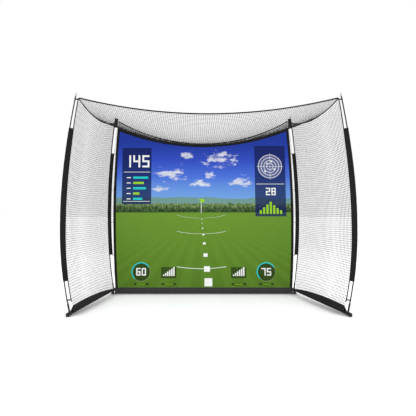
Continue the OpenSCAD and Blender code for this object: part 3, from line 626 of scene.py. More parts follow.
def print_sky(g):
    """A sky that pales towards its foot, with broken clouds."""
    g.color = g.ramp(g.step(g.v, 1.15, 2.1), [
        (0.0, rgb(112, 160, 222)), (0.35, rgb(74, 112, 212)),
        (0.7, rgb(50, 78, 190)), (1.0, rgb(34, 58, 158))])
    puff = g.noise(7.5, 7, 0.62, vector=g.uv, stretch=(1, 1.9, 1))
    shade = g.noise(9, 5, 0.6, vector=g.scaled(g.uv, (1, 1.9, 1), (0.01, 0.05, 0)))
    banks = g.any([g.step(g.reach(x, y, 2.0), r, 0.0, 0.0, 0.30) for x, y, r in (
        (0.24, 1.78, 0.46), (-0.44, 1.56, 0.38), (0.54, 1.46, 0.30), (-0.04, 1.42, 0.26),
        (-0.24, 1.82, 0.22), (0.10, 1.56, 0.18), (-0.62, 1.36, 0.20))])
    cloud = g.step(g.add(puff, banks), 0.66, 0.82)
    g.lay(cloud, g.mix(shade, rgb(176, 184, 205), rgb(246, 246, 248)), 0.92)


def print_land(g):
    """Hills, woods and grass with mown stripes that run to the horizon; returns the grass."""
    g.lay(g.below_ridge(1.235, 0.004, 3.0, 1.6, 2, 0.5),
          g.mix(g.noise(22, 4, vector=g.uv), rgb(96, 140, 138), rgb(122, 158, 150)))
    crown = g.noise(34, 6, 0.7, vector=g.uv, stretch=(1, 0.6, 1))
    g.lay(g.below_ridge(1.155, 0.006, 1.0, 15, 6, 0.65),
          g.ramp(g.add(crown, g.step(g.v, 1.03, 1.16, -0.12, 0.08)), [
              (0.34, rgb(34, 54, 30)), (0.50, rgb(74, 100, 58)), (0.66, rgb(134, 156, 102))]))
    ground = g.step(g.v, 1.035, 1.025)
    deep = g.math("DIVIDE", 0.11, g.math("MAXIMUM", g.sub(AIM_Y, g.v), 0.02))
    across = g.mul(g.sub(g.u, AIM_X), deep)
    stripe = g.step(g.math("SINE", g.mul(across, 190.0)), -0.5, 0.5)
    blade = g.noise(420, 4, 0.7, vector=g.uv)
    tuft = g.noise(11, 5, 0.6, vector=g.uv, stretch=(1, 3.2, 1))
    clump = g.step(g.noise(46, 5, 0.75, vector=g.uv, stretch=(1, 2.0, 1)), 0.36, 0.66)
    grass = g.ramp(g.v, [(0.0, rgb(82, 118, 32)), (0.55, rgb(100, 141, 42)),
                         (1.0, rgb(114, 156, 52))])
    for mask, share, tone in ((stripe, 0.20, rgb(122, 164, 58)), (tuft, 0.35, rgb(66, 104, 28)),
                              (blade, 0.30, rgb(52, 86, 20)), (clump, 0.16, rgb(132, 170, 70))):
        grass = g.mix(g.mul(mask, share), grass, tone)
    g.lay(ground, grass)
    return ground


def print_lane(g, ground):
    """Distance arcs on the grass, a row of marks and a flag."""
    arcs = g.any([g.ring(AIM_X, AIM_Y, r, t, 1.0 / f) for r, t, f in (
        (1.30, 0.006, 0.62), (0.78, 0.004, 0.42), (0.42, 0.003, 0.26))])
    arcs = g.mul(g.mul(arcs, ground), g.math("COMPARE", g.u, AIM_X, 0.34))
    marks = g.any([g.rect(AIM_X + 0.10 * (1 - y), y, 0.052 * (1.04 - y) ** 1.5 + 0.004,
                          0.055 * (1.04 - y) ** 2 + 0.003)
                   for y in (0.07, 0.25, 0.44, 0.60, 0.72, 0.81, 0.88, 0.93)])
    g.lay(g.any([g.rect(-0.031, 1.12, 0.0035, 0.10), marks, arcs]), WHITE)
    lean = g.mul(g.math("ABSOLUTE", g.sub(g.v, 1.195)), -1.2)
    g.lay(g.mul(g.math("COMPARE", g.sub(g.u, lean), -0.005, 0.03),
                g.math("COMPARE", g.v, 1.195, 0.025)), LIME)


def print_panels(g):
    """On the left a big number over a bar chart, on the right target rings over columns."""
    g.lay(g.rect(-0.935, 1.545, 0.205, 0.40), NAVY, 0.88)
    lines = [g.rect(-0.935, 1.60, 0.185, 0.003), g.rect(-0.935, 1.185, 0.185, 0.003)]
    lines += [g.rect(-1.075 + 0.028, 1.52 - 0.075 * i, 0.028, 0.006) for i in range(5)]
    g.lay(g.any([*lines, g.number("145", -1.105, 1.68, 0.074, 0.0125)]), WHITE)
    bars = [g.rect(-0.985 + w / 2, 1.52 - 0.075 * i, w / 2, 0.016)
            for i, w in enumerate((0.21, 0.15, 0.18, 0.09, 0.13))]
    g.lay(g.any(bars[::2]), CYAN)
    g.lay(g.any(bars[1::2]), LIME)

    x, y = 0.94, 1.68
    g.lay(g.rect(x, 1.475, 0.215, 0.50), NAVY, 0.86)
    g.lay(g.disc(x, y, 0.165), rgb(150, 160, 205), 0.30)
    rings = [g.ring(x, y, r, 0.0035) for r in (0.045, 0.085, 0.125, 0.165)]
    rings += [g.rect(x, y, 0.185, 0.002), g.rect(x, y, 0.002, 0.185),
              g.rect(x, 1.43, 0.195, 0.003), g.number("28", 0.885, 1.28, 0.044, 0.008)]
    rings += [g.disc(*hit, 0.012)
              for hit in ((0.90, 1.72), (1.0, 1.64), (0.96, 1.75), (0.87, 1.61))]
    g.lay(g.any(rings), WHITE)
    g.lay(g.any([g.rect(0.80 + 0.047 * i, 1.01 + h / 2, 0.015, h / 2)
                 for i, h in enumerate((0.05, 0.09, 0.13, 0.17, 0.12, 0.08, 0.05))]), LIME)


def print_foot(g):
    """Two dials, two tiles of rising steps and a tab under each."""
    for x, y, r, text in ((-0.86, 0.21, 0.125, "60"), (0.86, 0.21, 0.125, "75")):
        g.lay(g.disc(x, y, r), DARK, 0.75)
        g.lay(g.ring(x, y, r, 0.004), rgb(120, 140, 90))
        part = g.math("LESS_THAN", g.sub(g.mul(g.u, 0.8), g.v), 0.8 * x - y + 0.02)
        g.lay(g.mul(g.ring(x, y, r, 0.0075), part), CYAN)
        g.lay(g.number(text, x - 0.060, y - 0.041, 0.043, 0.008), WHITE)
    for x in (-0.48, 0.48):
        g.lay(g.rect(x, 0.20, 0.105, 0.075), DARK, 0.7)
        g.lay(g.any([g.rect(x - 0.07 + 0.028 * i, 0.155 + 0.010 * (i + 1), 0.009,
                            0.010 * (i + 1)) for i in range(6)]), WHITE)
    tabs = (-0.86, -0.48, 0.48, 0.86)
    g.lay(g.any([g.rect(x, 0.045, 0.10, 0.014) for x in tabs]), DARK, 0.8)
    g.lay(g.any([g.rect(x, 0.045, 0.06, 0.004) for x in tabs]), LIME)


def range_print():
    """Sky, hills, woods and mown grass with navy score panels, dials and distance marks."""
    g = Print("range_print")
    print_sky(g)
    print_lane(g, print_land(g))
    print_panels(g)
    print_foot(g)
    weave = g.add(g.mul(g.weave(), 0.5), 0.5)
    g.lay(weave, rgb(20, 24, 30), 0.08)
    soft = g.noise(3.0, 4, 0.5, vector=g.uv, stretch=(1, 0.5, 1))
    n = g.bump(weave, 0.25, 0.0003, g.bump(soft, 0.35, 0.004))
    return g.done(g.color, 0.82, 0.0, n, Specular_IOR_Level=0.1)


def screen_back():
    """The unprinted white back of the screen, where the print shows through a little."""
    g = Print("screen_back")
    weave = g.weave()
    ghost = g.mix(g.step(g.v, 1.02, 1.05), rgb(176, 184, 168), rgb(176, 184, 204))
    color = g.mix(g.noise(6, 4, vector=g.uv), ghost, rgb(200, 204, 206))
    color = g.mix(g.mul(g.add(g.mul(weave, 0.5), 0.5), 0.15), color, rgb(150, 154, 160))
    return g.done(color, 0.85, 0.0, g.bump(weave, 0.25, 0.0003), Specular_IOR_Level=0.15)


M_PRINT, M_BACK = range_print(), screen_back()


# ------------------------------------------------------------------ ground frame
def pipe(name, start, axis, length, body, cad, spigot=0.0, holes=()):
    """A ground tube; spigot is the reduced end before its start, and holes take buttons."""
    start, axis = np.asarray(start, float), np.asarray(axis, float)
    s = Shape().turned(tube_profile(length, TUBE_R, BORE_R), start, axis, 40)
    if spigot:
        r = BORE_R - 0.0001
        s.turned([(-spigot, r - WALL), (-spigot, r - 0.0006), (0.0006 - spigot, r),
                  (0.002, r), (0.002, r - WALL), (-spigot, r - WALL)], start, axis, 36)
    obj = s.make(name, M_PAINT, body=body, cad=cad, slot="tube_steel")
    for centre, out in holes:
        bore(obj, centre, axis, out, BUTTON_HOLE)


def weld_bead(shape, centre, axis, r, size, seed, sides=72):
    """A rippled ring of weld round a joint."""
    u, v, w = basis(axis)
    rng = np.random.default_rng(seed)
    rows = []
    turn = np.linspace(0, 2 * math.pi, sides, endpoint=False)
    ripple = 1 + 0.16 * np.sin(turn * 24) + 0.08 * rng.standard_normal(sides)
    for a in np.linspace(0, 2 * math.pi, 9)[:-1]:
        rr = r + size * ripple * math.cos(a)
        rows.append(np.asarray(centre) + (size * ripple * math.sin(a))[:, None] * w
                    + rr[:, None] * (np.cos(turn)[:, None] * u + np.sin(turn)[:, None] * v))
    rows.append(rows[0])
    shape.grid(rows, wrap=True)


def rear_hole(side):
    """The middle and the outward direction of a rear snap button."""
    x = CENTRE_HALF + SEAT_GAP - SPIGOT / 2
    return np.array([side * x, REAR_Y, REAR_Z]), np.array([0, 0, 1.0])


def rear_tubes():
    """The three rear tubes, the outer ones plugged into the middle one."""
    pipe("rear_bar_centre", (-CENTRE_HALF, REAR_Y, REAR_Z), (1, 0, 0), 2 * CENTRE_HALF,
         "rear_frame", "rear_tube_centre", holes=[rear_hole(side) for side, _ in SIDES])
    for side, word in SIDES:
        start = (side * (CENTRE_HALF + SEAT_GAP), REAR_Y, REAR_Z)
        pipe("rear_bar_" + word, start, (side, 0, 0), REAR_END - CENTRE_HALF - SEAT_GAP,
             "rear_frame", "rear_tube_" + word, spigot=SPIGOT, holes=[rear_hole(side)])


def corner_bracket(side, word):
    """Welded corner: sleeve for the rear tube, two cheeks, a block, a leg and a pole socket."""
    s = Shape()
    r, length, depth = COLLAR_R, 0.124, 0.090
    x = side * (PIN[0] - 0.034 - depth)
    s.turned([(0, COLLAR_BORE), (0, r - 0.0007), (0.0007, r), (length - 0.0007, r),
              (length, r - 0.0007), (length, 0.001), (depth, 0.001), (depth, COLLAR_BORE),
              (0, COLLAR_BORE)], (x, REAR_Y, REAR_Z), (side, 0, 0), 44)
    rim = [(CHEEK_R * math.cos(a), CHEEK_R * math.sin(a)) for a in np.linspace(-math.pi, 0, 17)]
    rim += [(CHEEK_R, CHEEK_BACK), (-CHEEK_R, CHEEK_BACK)]
    for top in (1, -1):
        z = REAR_Z + top * (TONGUE_HALF + CHEEK_GAP + 0.0025)
        rows = []
        for dz, inset in ((-0.0025, 0.0006), (-0.0019, 0), (0.0019, 0), (0.0025, 0.0006)):
            f = 1 - inset / CHEEK_R
            rows.append([(side * PIN[0] + px * f, PIN[1] + py * f, z + dz) for px, py in rim])
        s.grid(rows, wrap=True, cap=True)
    s.box((0.0400, 0.031, 0.0245), 0.0014, (side * PIN[0], PIN[1] + 0.017 + 0.0155, REAR_Z))
    s.box((0.036, 0.036, 0.053), 0.0016, (side * PIN[0], REAR_Y, 0.005 + 0.0265))
    mouth, up = socket(s, REAR[side], 0.098)
    weld_bead(s, mouth - up * 0.066, up, SOCKET_R, 0.0016, 5)
    s.make("bracket_" + word, M_PAINT, body="rear_frame", cad="corner_bracket_" + word,
           slot="tube_steel", angle=50)


def socket(shape, bow, length):
    """The closed tube that takes a pole's foot; returns its mouth and its direction."""
    mouth, (_, _, up) = bow.at(0), bow.axes(0)
    shape.turned([(-length, SOCKET_R), (-0.0008, SOCKET_R), (0, SOCKET_R - 0.0008),
                  (0, SOCKET_BORE), (-0.030, SOCKET_BORE), (-0.030, 0.0005)], mouth, up, 32)
    return mouth, up


def hinge_bolts():
    """The hinges' pins: a hexagonal head below and a domed washer on top."""
    s = Shape()
    top = TONGUE_HALF + CHEEK_GAP + 0.005 + 0.0002
    for side, _ in SIDES:
        c = np.array([side * PIN[0], PIN[1], REAR_Z])
        s.turned([(-top - 0.0049, 0.0045), (-top - 0.0049, 0.0055), (-top - 0.0043, 0.006),
                  (top, 0.006)], c, (0, 0, 1), 28, cap=True)
        s.turned([(top, 0.0098), (top + 0.0035, 0.0100), (top + 0.0044, 0.0094),
                  (top + 0.005, 0.0080), (top + 0.0050, 0.0042), (top + 0.0036, 0.0038)],
                 c, (0, 0, 1), 32, cap=True)
        rows = []
        for z, f in ((-top, 0.94), (-top - 0.0006, 1.0), (-top - 0.0040, 1.0),
                     (-top - 0.0047, 0.93)):
            ring = circle(0.0100 * f, 6)
            rows.append(np.column_stack([ring + c[:2], np.full(6, c[2] + z)]))
        s.grid(rows, wrap=True, cap=True)
    s.make("hinge_bolts", M_ZINC, body="rear_frame", cad="hinge_pins", slot="bright_steel",
           angle=30)


def corner_pads():
    """Rubber pads under the brackets' legs, with a raised step and ribs."""
    s = Shape()
    for side, _ in SIDES:
        for size, z in (((0.048, 0.048, 0.005), 0.0025), ((0.0440, 0.0440, 0.0030), 0.0064)):
            s.box(size, 0.0011, (side * PIN[0], REAR_Y, z))
        for i in range(-2, 3):
            s.box((0.046, 0.0022, 0.0012), 0.0004, (side * PIN[0], REAR_Y + i * 0.009, 0.0007))
    s.make("corner_pads", M_RUBBER, body="rear_frame", cad="corner_feet", slot="black_rubber")


def side_axes(side):
    """A side frame's origin and its unit vectors along, outward and up."""
    o = side_at(side, 0, 0, 0)
    along = side_at(side, 1, 0, 0) - o
    out = side_at(side, 0, 1, 0) - o
    return o, along, out, side_at(side, 0, 0, 1) - o


def hinge_tongue(side, word, body):
    """The flat tongue in the bracket's fork, its two heel flats and the plug in the tube."""
    s = Shape()
    o = np.array([side * PIN[0], PIN[1], REAR_Z])
    level = np.array([side * math.sin(SPLAY), -math.cos(SPLAY), 0])
    out = np.array([side * math.cos(SPLAY), math.sin(SPLAY), 0])
    w, heel = 0.014, 0.0167
    square = math.tan(SPLAY / 2) * heel
    rim = [(0.0465, -w), (0.0465, w), (-heel / math.cos(SPLAY) + w * math.tan(SPLAY), w),
           (-heel, -square * 0.5), (-heel, -w)]
    rows = []
    for dz, f in ((-0.007, 0.95), (-0.0064, 1), (0.0064, 1), (0.007, 0.95)):
        rows.append([o + a * f * level + b * f * out + (0, 0, dz) for a, b in rim])
    s.grid(rows, wrap=True, cap=True)
    _, along, _, _ = side_axes(side)
    s.turned([(0.040, 0.0135), (0.0445, 0.0143), (0.098, 0.0143), (0.0985, 0.0138)],
             o, along, 32, cap=True)
    weld_bead(s, o + along * 0.0432, along, 0.0138, 0.0012, 9)
    s.make("tongue_" + word, M_PAINT, body=body, cad="hinge_tongue_" + word, slot="tube_steel")


def side_tubes(side, word, body):
    """The two tubes of a side frame, the front one plugged into the rear one."""
    o, along, out, _ = side_axes(side)
    hole = (o + along * BUTTON_S, out)
    start = SIDE_SPLIT + SEAT_GAP
    pipe("side_bar_rear_" + word, o + along * SIDE_START, along, SIDE_SPLIT - SIDE_START, body,
         "side_tube_rear_" + word, holes=[hole])
    pipe("side_bar_front_" + word, o + along * start, along, SIDE_LENGTH - start, body,
         "side_tube_front_" + word, spigot=SPIGOT, holes=[hole])


def pole_socket(side, word, body):
    """A collar on the side tube with the leaning socket welded on it."""
    s = Shape()
    o, along, _, _ = side_axes(side)
    r, half = COLLAR_R, 0.030
    s.turned([(-half, COLLAR_BORE), (-half, r - 0.0007), (0.0007 - half, r), (half - 0.0007, r),
              (half, r - 0.0007), (half, COLLAR_BORE), (-half, COLLAR_BORE)],
             o + along * SOCKET_S, along, 44)
    mouth, up = socket(s, FRONT[side], 0.100)
    weld_bead(s, mouth - up * 0.0915, up, SOCKET_R, 0.0018, 3)
    s.make("socket_" + word, M_PAINT, body=body, cad="pole_socket_" + word, slot="tube_steel",
           angle=50)


def foot_cap(side, word, body):
    """A ribbed rubber cap over the tube's end with a flat on the floor."""
    s = Shape()
    o, along, out, _ = side_axes(side)
    r = 0.0197
    start = SIDE_LENGTH - 0.018
    prof = [(0, COLLAR_BORE), (0, r - 0.0012), (0.0012, r), (0.0045, r), (0.0052, r - 0.0007),
            (0.0062, r - 0.0007), (0.0069, r), (0.0165, r), (0.0195, r - 0.0009),
            (0.0213, r - 0.0034), (0.0215, r - 0.007), (0.0215, 0.0005)]
    rings = lathe(prof, o + along * start, along, 40)
    rings[..., 2] = np.maximum(rings[..., 2], 0.0)
    s.grid(rings, wrap=True)
    flat = o + along * (start + 0.010)
    level = np.array([along[0], along[1], 0]) / math.hypot(along[0], along[1])
    s.box((0.0180, 0.030, 0.012), 0.0016, (flat[0], flat[1], 0.006), level, out)
    s.make("foot_cap_" + word + "_rubber", M_RUBBER, body=body, cad="foot_cap_" + word,
           slot="black_rubber")


# ------------------------------------------------------------------ poles
def ring_at(bow, s, pairs):
    """A ring of (out, back) pairs at a distance s along a pole."""
    out, back, _ = bow.axes(s)
    return bow.at(s) + pairs[:, :1] * out + pairs[:, 1:] * back


def along_bow(bow, stations, ring):
    """Rings of (out, back) pairs at stations along a pole; ring may be a function of s."""
    return np.array([ring_at(bow, s, ring(s) if callable(ring) else ring) for s in stations])


def circle(r, sides=18):
    """A ring of points in two dimensions."""
    a = np.linspace(0, 2 * math.pi, sides, endpoint=False)
    return np.stack([r * np.cos(a), r * np.sin(a)], 1)


def rods(bow, name, body, cad):
    """A pole's three rods and the sleeved foot that stands in its socket."""
    s = Shape()
    for i in range(RODS):
        low = i * ROD + (0.0005 if i else 0)
        high = (i + 1) * ROD - (0.0005 if i < RODS - 1 else 0)
        stations = np.concatenate([[low, low + 0.0004], np.linspace(low + 0.001, high - 0.001, 22),
                                   [high - 0.0004, high]])
        rows = along_bow(bow, stations, lambda at: circle(
            POLE_R - (0.0005 if at in (low, high) else 0.0)))
        s.grid(rows, wrap=True, cap=True)
    s.turned([(-0.0898, 0.0066), (-0.0892, 0.0073), (0.0034, 0.0073), (0.0040, 0.0069)],
             bow.at(0), bow.axes(0)[2], 24, cap=True)
    s.make(name, M_ROD, body=body, cad=cad, slot="glass_fibre")


def ferrules(bow, shape):
    """Metal bands over the joints of a pole's rods, rolled in near both ends."""
    half = ((0.060, 0.83), (0.060, 0.94), (0.0594, 1), (0.045, 1), (0.0444, 0.95), (0.0438, 1),
            (0.02, 1))
    profile = [(-d, f) for d, f in half] + [(0.0, 1)] + list(half[::-1])
    for i in range(1, RODS):
        stations = i * ROD + np.array([d for d, _ in profile])
        rows = along_bow(bow, stations, circle(0.00875, 24))
        for k, (_, f) in enumerate(profile):
            centre = bow.at(stations[k])
            rows[k] = centre + (rows[k] - centre) * f
        shape.grid(rows, wrap=True)


def tip_cap(bow, shape):
    """A moulded cap on a pole's tip: skirt, a bead and a domed end."""
    base = RODS * ROD + 0.004 - 0.036
    prof = [(0.0, 0.0074), (0.0, 0.0088), (0.0008, 0.0092), (0.004, 0.00925), (0.0048, 0.0087),
            (0.028, 0.0085), (0.0325, 0.0079), (0.0350, 0.0061), (0.0360, 0.0028), (0.0360, 0.0002)]
    shape.grid([ring_at(bow, base + d, circle(r, 24)) for d, r in prof], wrap=True)


# ------------------------------------------------------------------ sleeves and loops
def sleeve_outline(r, reach, half, sides=22):
    """A fold of cloth round a pole that flattens into a web: (out, back) pairs, from web edge
    over the pole and back to the web edge."""
    lean = math.acos(min(1, (r - half) / (reach * 0.62)))
    turn = np.linspace(math.pi - lean * 0.62, -(math.pi - lean * 0.62), sides)
    ring = np.stack([r * np.cos(turn), r * np.sin(turn)], 1)
    web = np.array([(-reach, half * 0.55), (-reach + 0.0008, half), (-reach + 0.008, half),
                    (-reach + 0.0085, half * 0.8), (-reach + 0.0095, half * 0.8),
                    (-reach * 0.62, half), (-reach * 0.46, half * 1.5)])
    return np.concatenate([web, ring, web[::-1] * (1, -1)])


def web_drift(s):
    """What the front sleeve's web gains halfway up, and loses near the top, as the net pulls."""
    low, high = FRONT_SLEEVE
    middle = math.sin(math.pi * min(max((s - low) / (high - low), 0), 1))
    top = min(max((s - 1.75) / 0.55, 0), 1)
    return 0.007 * middle - 0.010 * top * top * (3 - 2 * top)


def sleeve(name, bow, low, high, body, cad, seed, drift=None):
    """A cloth sleeve with its web, creased where the pole bends it, open and hemmed at the ends."""
    r = SLEEVE_R
    stations = np.linspace(low, high, int((high - low) / 0.012))
    outline = sleeve_outline(r, WEB, WEB_HALF)
    run = run_length(outline)
    a = np.linspace(0, 1, len(outline))
    folds = creases(seed, 18, 90, 9, 9)
    rows, uv = [], []
    for s in stations:
        hem = 1.0 if min(s - low, high - s) > 0.016 else 1.03
        amount = 0.0011 * np.clip(outline[:, 0] / WEB + 1.15, 0.12, 1)
        grow = 1 + amount * (crease_at(folds, s, a) - 0.75) / r
        pairs = outline * np.stack([np.where(outline[:, 0] > -r, grow * hem, 1), grow * hem], 1)
        if drift:
            pairs[:, 0] -= drift(s) * np.clip((-r - outline[:, 0]) / (WEB - r), 0, 1)
        rows.append(ring_at(bow, s, pairs))
        uv.append(flat_uv(run, s))
    shape = Shape().grid(rows, uv, wrap=True)
    hole = circle(r - 0.0016, 24)
    hole_uv = [flat_uv(np.linspace(0, HOLE_GIRTH, 24), s) for s in stations]
    shape.grid(along_bow(bow, stations, hole)[:, ::-1], hole_uv, wrap=True)
    for k in (0, -1):
        end_cap(shape, rows[k], ring_at(bow, stations[k], hole), uv[k], stations[k])
    obj = shape.make(name, M_CLOTH, body=body, cad=cad, slot="black_cloth", angle=70)


def end_cap(shape, outer, hole, uv, at):
    """Closes the ring between a sleeve's outside and the hole round its pole."""
    n, m = len(outer), len(hole)
    pair = [int(np.argmin(np.linalg.norm(hole - p, axis=1))) for p in outer]
    faces = []
    for i in range(n):
        j = (i + 1) % n
        a, b = pair[i], pair[j]
        faces.append((i, j, n + b) if a != b else (i, j, n + a))
        step = 1 if (b - a) % m < m / 2 else -1
        k = a
        while k != b:
            faces.append((i, n + (k + step) % m, n + k))
            k = (k + step) % m
    flat = np.concatenate([uv, flat_uv(np.linspace(0, HOLE_GIRTH, m), at)])
    shape.add(np.concatenate([outer, hole]), faces, flat)


# ------------------------------------------------------------------ repeated pieces by nodes
class Tree:
    """A geometry node tree that turns the edges of a base mesh into painted pieces."""

    def __init__(self, name, floats, first):
        self.tree = bpy.data.node_groups.new(name, "GeometryNodeTree")
        kinds = [("Geometry", "Geometry"), *floats, ("Material", "Material")]
        for label, kind in kinds:
            self.tree.interface.new_socket(label, in_out="INPUT", socket_type="NodeSocket" + kind)
        self.tree.interface.new_socket("Geometry", in_out="OUTPUT",
                                       socket_type="NodeSocketGeometry")
        self.start = self.node("NodeGroupInput")
        self.curve = self.node("GeometryNodeMeshToCurve")
        self.link(self.start, "Geometry", self.curve, 0)
        self.step = self.node(first)
        self.link(self.curve, 0, self.step, "Curve")

    def node(self, kind, **values):
        n = self.tree.nodes.new(kind)
        for k, v in values.items():
            n.inputs[k.replace("_", " ")].default_value = v
        return n

    def link(self, source, output, target, entry):
        self.tree.links.new(source.outputs[output], target.inputs[entry])

    def painted(self, last):
        real = self.node("GeometryNodeRealizeInstances")
        paint = self.node("GeometryNodeSetMaterial")
        self.link(last, 0, real, 0)
        self.link(real, 0, paint, "Geometry")
        self.link(self.start, "Material", paint, "Material")
        self.link(paint, 0, self.node("NodeGroupOutput"), 0)
        return self.tree


def strand_tree():
    """Round strands of the thickness stored on the base mesh's points."""
    t = Tree("strand_tubes", [("Sides", "Int"), ("Roughen", "Float")], "GeometryNodeCurveToMesh")
    t.step.inputs["Fill Caps"].default_value = True
    thick = t.node("GeometryNodeInputNamedAttribute", Name="thick")
    noise, place = t.node("ShaderNodeTexNoise", Scale=90), t.node("GeometryNodeInputPosition")
    vary, grow = t.node("ShaderNodeMath"), t.node("ShaderNodeMath")
    vary.operation, grow.operation = "MULTIPLY_ADD", "MULTIPLY"
    vary.inputs[2].default_value = 1.0
    ring = t.node("GeometryNodeCurvePrimitiveCircle", Radius=1.0)
    t.link(place, 0, noise, "Vector")
    t.link(noise, 0, vary, 0)
    t.link(t.start, "Roughen", vary, 1)
    t.link(vary, 0, grow, 0)
    t.link(thick, 0, grow, 1)
    t.link(grow, 0, t.step, "Scale")
    t.link(t.start, "Sides", ring, "Resolution")
    t.link(ring, 0, t.step, "Profile Curve")
    return t.painted(t.step)


def stitch_tree():
    """Small thread bars at even steps along the base mesh's edges, turned along them."""
    t = Tree("stitch_row", [("Pitch", "Float"), ("Length", "Float"), ("Thread", "Float")],
             "GeometryNodeCurveToPoints")
    t.step.mode = "LENGTH"
    bar = t.node("GeometryNodeMeshCylinder", Vertices=5)
    put, turn = t.node("GeometryNodeInstanceOnPoints"), t.node("FunctionNodeAlignRotationToVector")
    turn.axis = "Z"
    t.link(t.start, "Pitch", t.step, "Length")
    t.link(t.start, "Length", bar, "Depth")
    t.link(t.start, "Thread", bar, "Radius")
    t.link(t.step, "Points", put, "Points")
    t.link(t.step, "Tangent", turn, "Vector")
    t.link(turn, 0, put, "Rotation")
    t.link(bar, "Mesh", put, "Instance")
    return t.painted(put)


STRANDS, STITCHES = strand_tree(), stitch_tree()


def evaluated(obj):
    """A new mesh of what an object's modifiers make of it."""
    bpy.context.view_layer.update()
    graph = bpy.context.evaluated_depsgraph_get()
    return bpy.data.meshes.new_from_object(obj.evaluated_get(graph), depsgraph=graph)


def from_lines(name, lines, tree, values, thick=1.0):
    """Runs a node tree on polylines and returns the plain mesh."""
    verts = np.concatenate([np.asarray(p, float) for p in lines])
    edges, k = [], 0
    for p in lines:
        edges += [(k + i, k + i + 1) for i in range(len(p) - 1)]
        k += len(p)
    base = bpy.data.meshes.new(name + "_lines")
    base.from_pydata([tuple(v) for v in verts], edges, [])
    if not hasattr(thick, "__len__"):
        thick = [thick] * len(lines)
    each = np.concatenate([np.full(len(p), t) for p, t in zip(lines, thick)])
    base.attributes.new("thick", "FLOAT", "POINT").data.foreach_set("value", each)
    obj = bpy.data.objects.new(name + "_lines", base)
    bpy.context.scene.collection.objects.link(obj)
    mod = obj.modifiers.new("make", "NODES")
    mod.node_group = tree
    for item in tree.interface.items_tree:
        if item.in_out == "INPUT" and item.name in values:
            mod[item.identifier] = values[item.name]
    mesh = evaluated(obj)
    bpy.data.objects.remove(obj)
    bpy.data.meshes.remove(base)
    if "thick" in mesh.attributes:
        mesh.attributes.remove(mesh.attributes["thick"])
    return mesh


def strand_mesh(name, lines, thick, material, sides=4, roughen=0.0):
    """Round strands along polylines."""
    return from_lines(name, lines, STRANDS,
                      {"Sides": sides, "Roughen": roughen, "Material": material}, thick)


def stitch_mesh(name, lines, material, pitch, length, thread):
    """Stitches along polylines."""
    return from_lines(name, lines, STITCHES,
                      {"Pitch": pitch, "Length": length, "Thread": thread, "Material": material})


def merge(target, mesh):
    """Adds a mesh to an object's own mesh, keeping its materials."""
    bm = bmesh.new()
    bm.from_mesh(target.data)
    paint = [m for m in mesh.materials if m][-1]
    if paint.name not in target.data.materials:
        target.data.materials.append(paint)
    slot = target.data.materials.find(paint.name)
    first = len(bm.faces)
    bm.from_mesh(mesh)
    bm.faces.ensure_lookup_table()
    for f in bm.faces[first:]:
        f.material_index = slot
    bm.to_mesh(target.data)
    bm.free()
    bpy.data.meshes.remove(mesh)


def helix(path, r, pitch, per_turn, phase):
    """A lacing that winds round a path of points."""
    path = np.asarray(path, float)
    run = run_length(path)
    count = max(4, int(run[-1] / pitch * per_turn))
    at = np.linspace(0, run[-1], count)
    centre = np.stack([np.interp(at, run, path[:, k]) for k in range(3)], 1)
    tangent = np.gradient(centre, axis=0)
    tangent /= np.linalg.norm(tangent, axis=1)[:, None]
    u = np.cross(tangent, (0.31, 0.87, 0.38))
    u /= np.linalg.norm(u, axis=1)[:, None]
    v = np.cross(tangent, u)
    a = at / pitch * 2 * math.pi + phase
    rr = r * (1 + 0.08 * np.sin(at * 41))
    return centre + rr[:, None] * (np.cos(a)[:, None] * u + np.sin(a)[:, None] * v)


# ------------------------------------------------------------------ net surfaces
LACE_PITCH = 0.025
EDGE_REACH = WEB + CORD_GAP + CORD_R
EDGE_CORD_R, SEAM_CORD_R, ROOF_CORD_R, BACK_CORD_R = 0.0055, 0.0060, 0.0075, 0.0070
FRONT_RUN_NET, REAR_RUN_NET, BACK_HIGH = (0.020, 2.300), (0.020, 2.245), 2.290
SEAM_SAG, FRONT_SAG, FRONT_PULL, BACK_SAG = 0.098, 0.165, 0.060, 0.325
SKIRT_FROM, SKIRT_TO = 0.032, SOCKET_S - 0.034
SKIRT_REAR, SKIRT_FRONT, SKIRT_BOW = 0.022, 0.080, 0.030
SKIRT_LEAN = math.tan(math.radians(16))
SEAM_LIFT = CORD_R + NET_GAP + 0.0021
SKIRT_SPAN = SKIRT_TO - SKIRT_FROM


def skirt_height(t):
    """How high a skirt's upper edge stands over the tube's axis."""
    return lerp(SKIRT_REAR, SKIRT_FRONT, t) + dip(t, SKIRT_SPAN, SKIRT_BOW)


def skirt_top(side, t, lift=0.0):
    """A point of a skirt's upper edge."""
    h = float(skirt_height(t)) + lift
    return side_at(side, lerp(SKIRT_FROM, SKIRT_TO, t), -h * SKIRT_LEAN, h)


def net_rear_edge(side, v):
    """A side net's edge along the rear pole."""
    s = lerp(*REAR_RUN_NET, v)
    return lerp(REAR[side].at(s, 0.006, -0.0134), skirt_top(side, 0, NET_GAP), (1 - v) ** 24)


def net_front_edge(side, v):
    """A side net's edge along the front pole."""
    s = lerp(*FRONT_RUN_NET, v)
    reach = EDGE_REACH + web_drift(s)
    return lerp(FRONT[side].at(s, -reach, CORD_R + CORD_GAP), skirt_top(side, 1, NET_GAP),
                (1 - v) ** 24)


LIFT = np.array([0, 0, SEAM_LIFT])
SEAM_REAR = {s: net_rear_edge(s, 1) + LIFT for s in (-1, 1)}
SEAM_FRONT = {s: net_front_edge(s, 1) + LIFT for s in (-1, 1)}
SEAM_SPAN = np.linalg.norm(SEAM_FRONT[1] - SEAM_REAR[1])
BESIDE = CORD_R + NET_GAP
FRONT_CORNER = SEAM_FRONT[1] + (-BESIDE, -BESIDE, 0.0015)
BACK_CORNER = REAR[1].at(BACK_HIGH, -(WEB + 0.0014))
FLIP = np.array([-1, 1, 1])


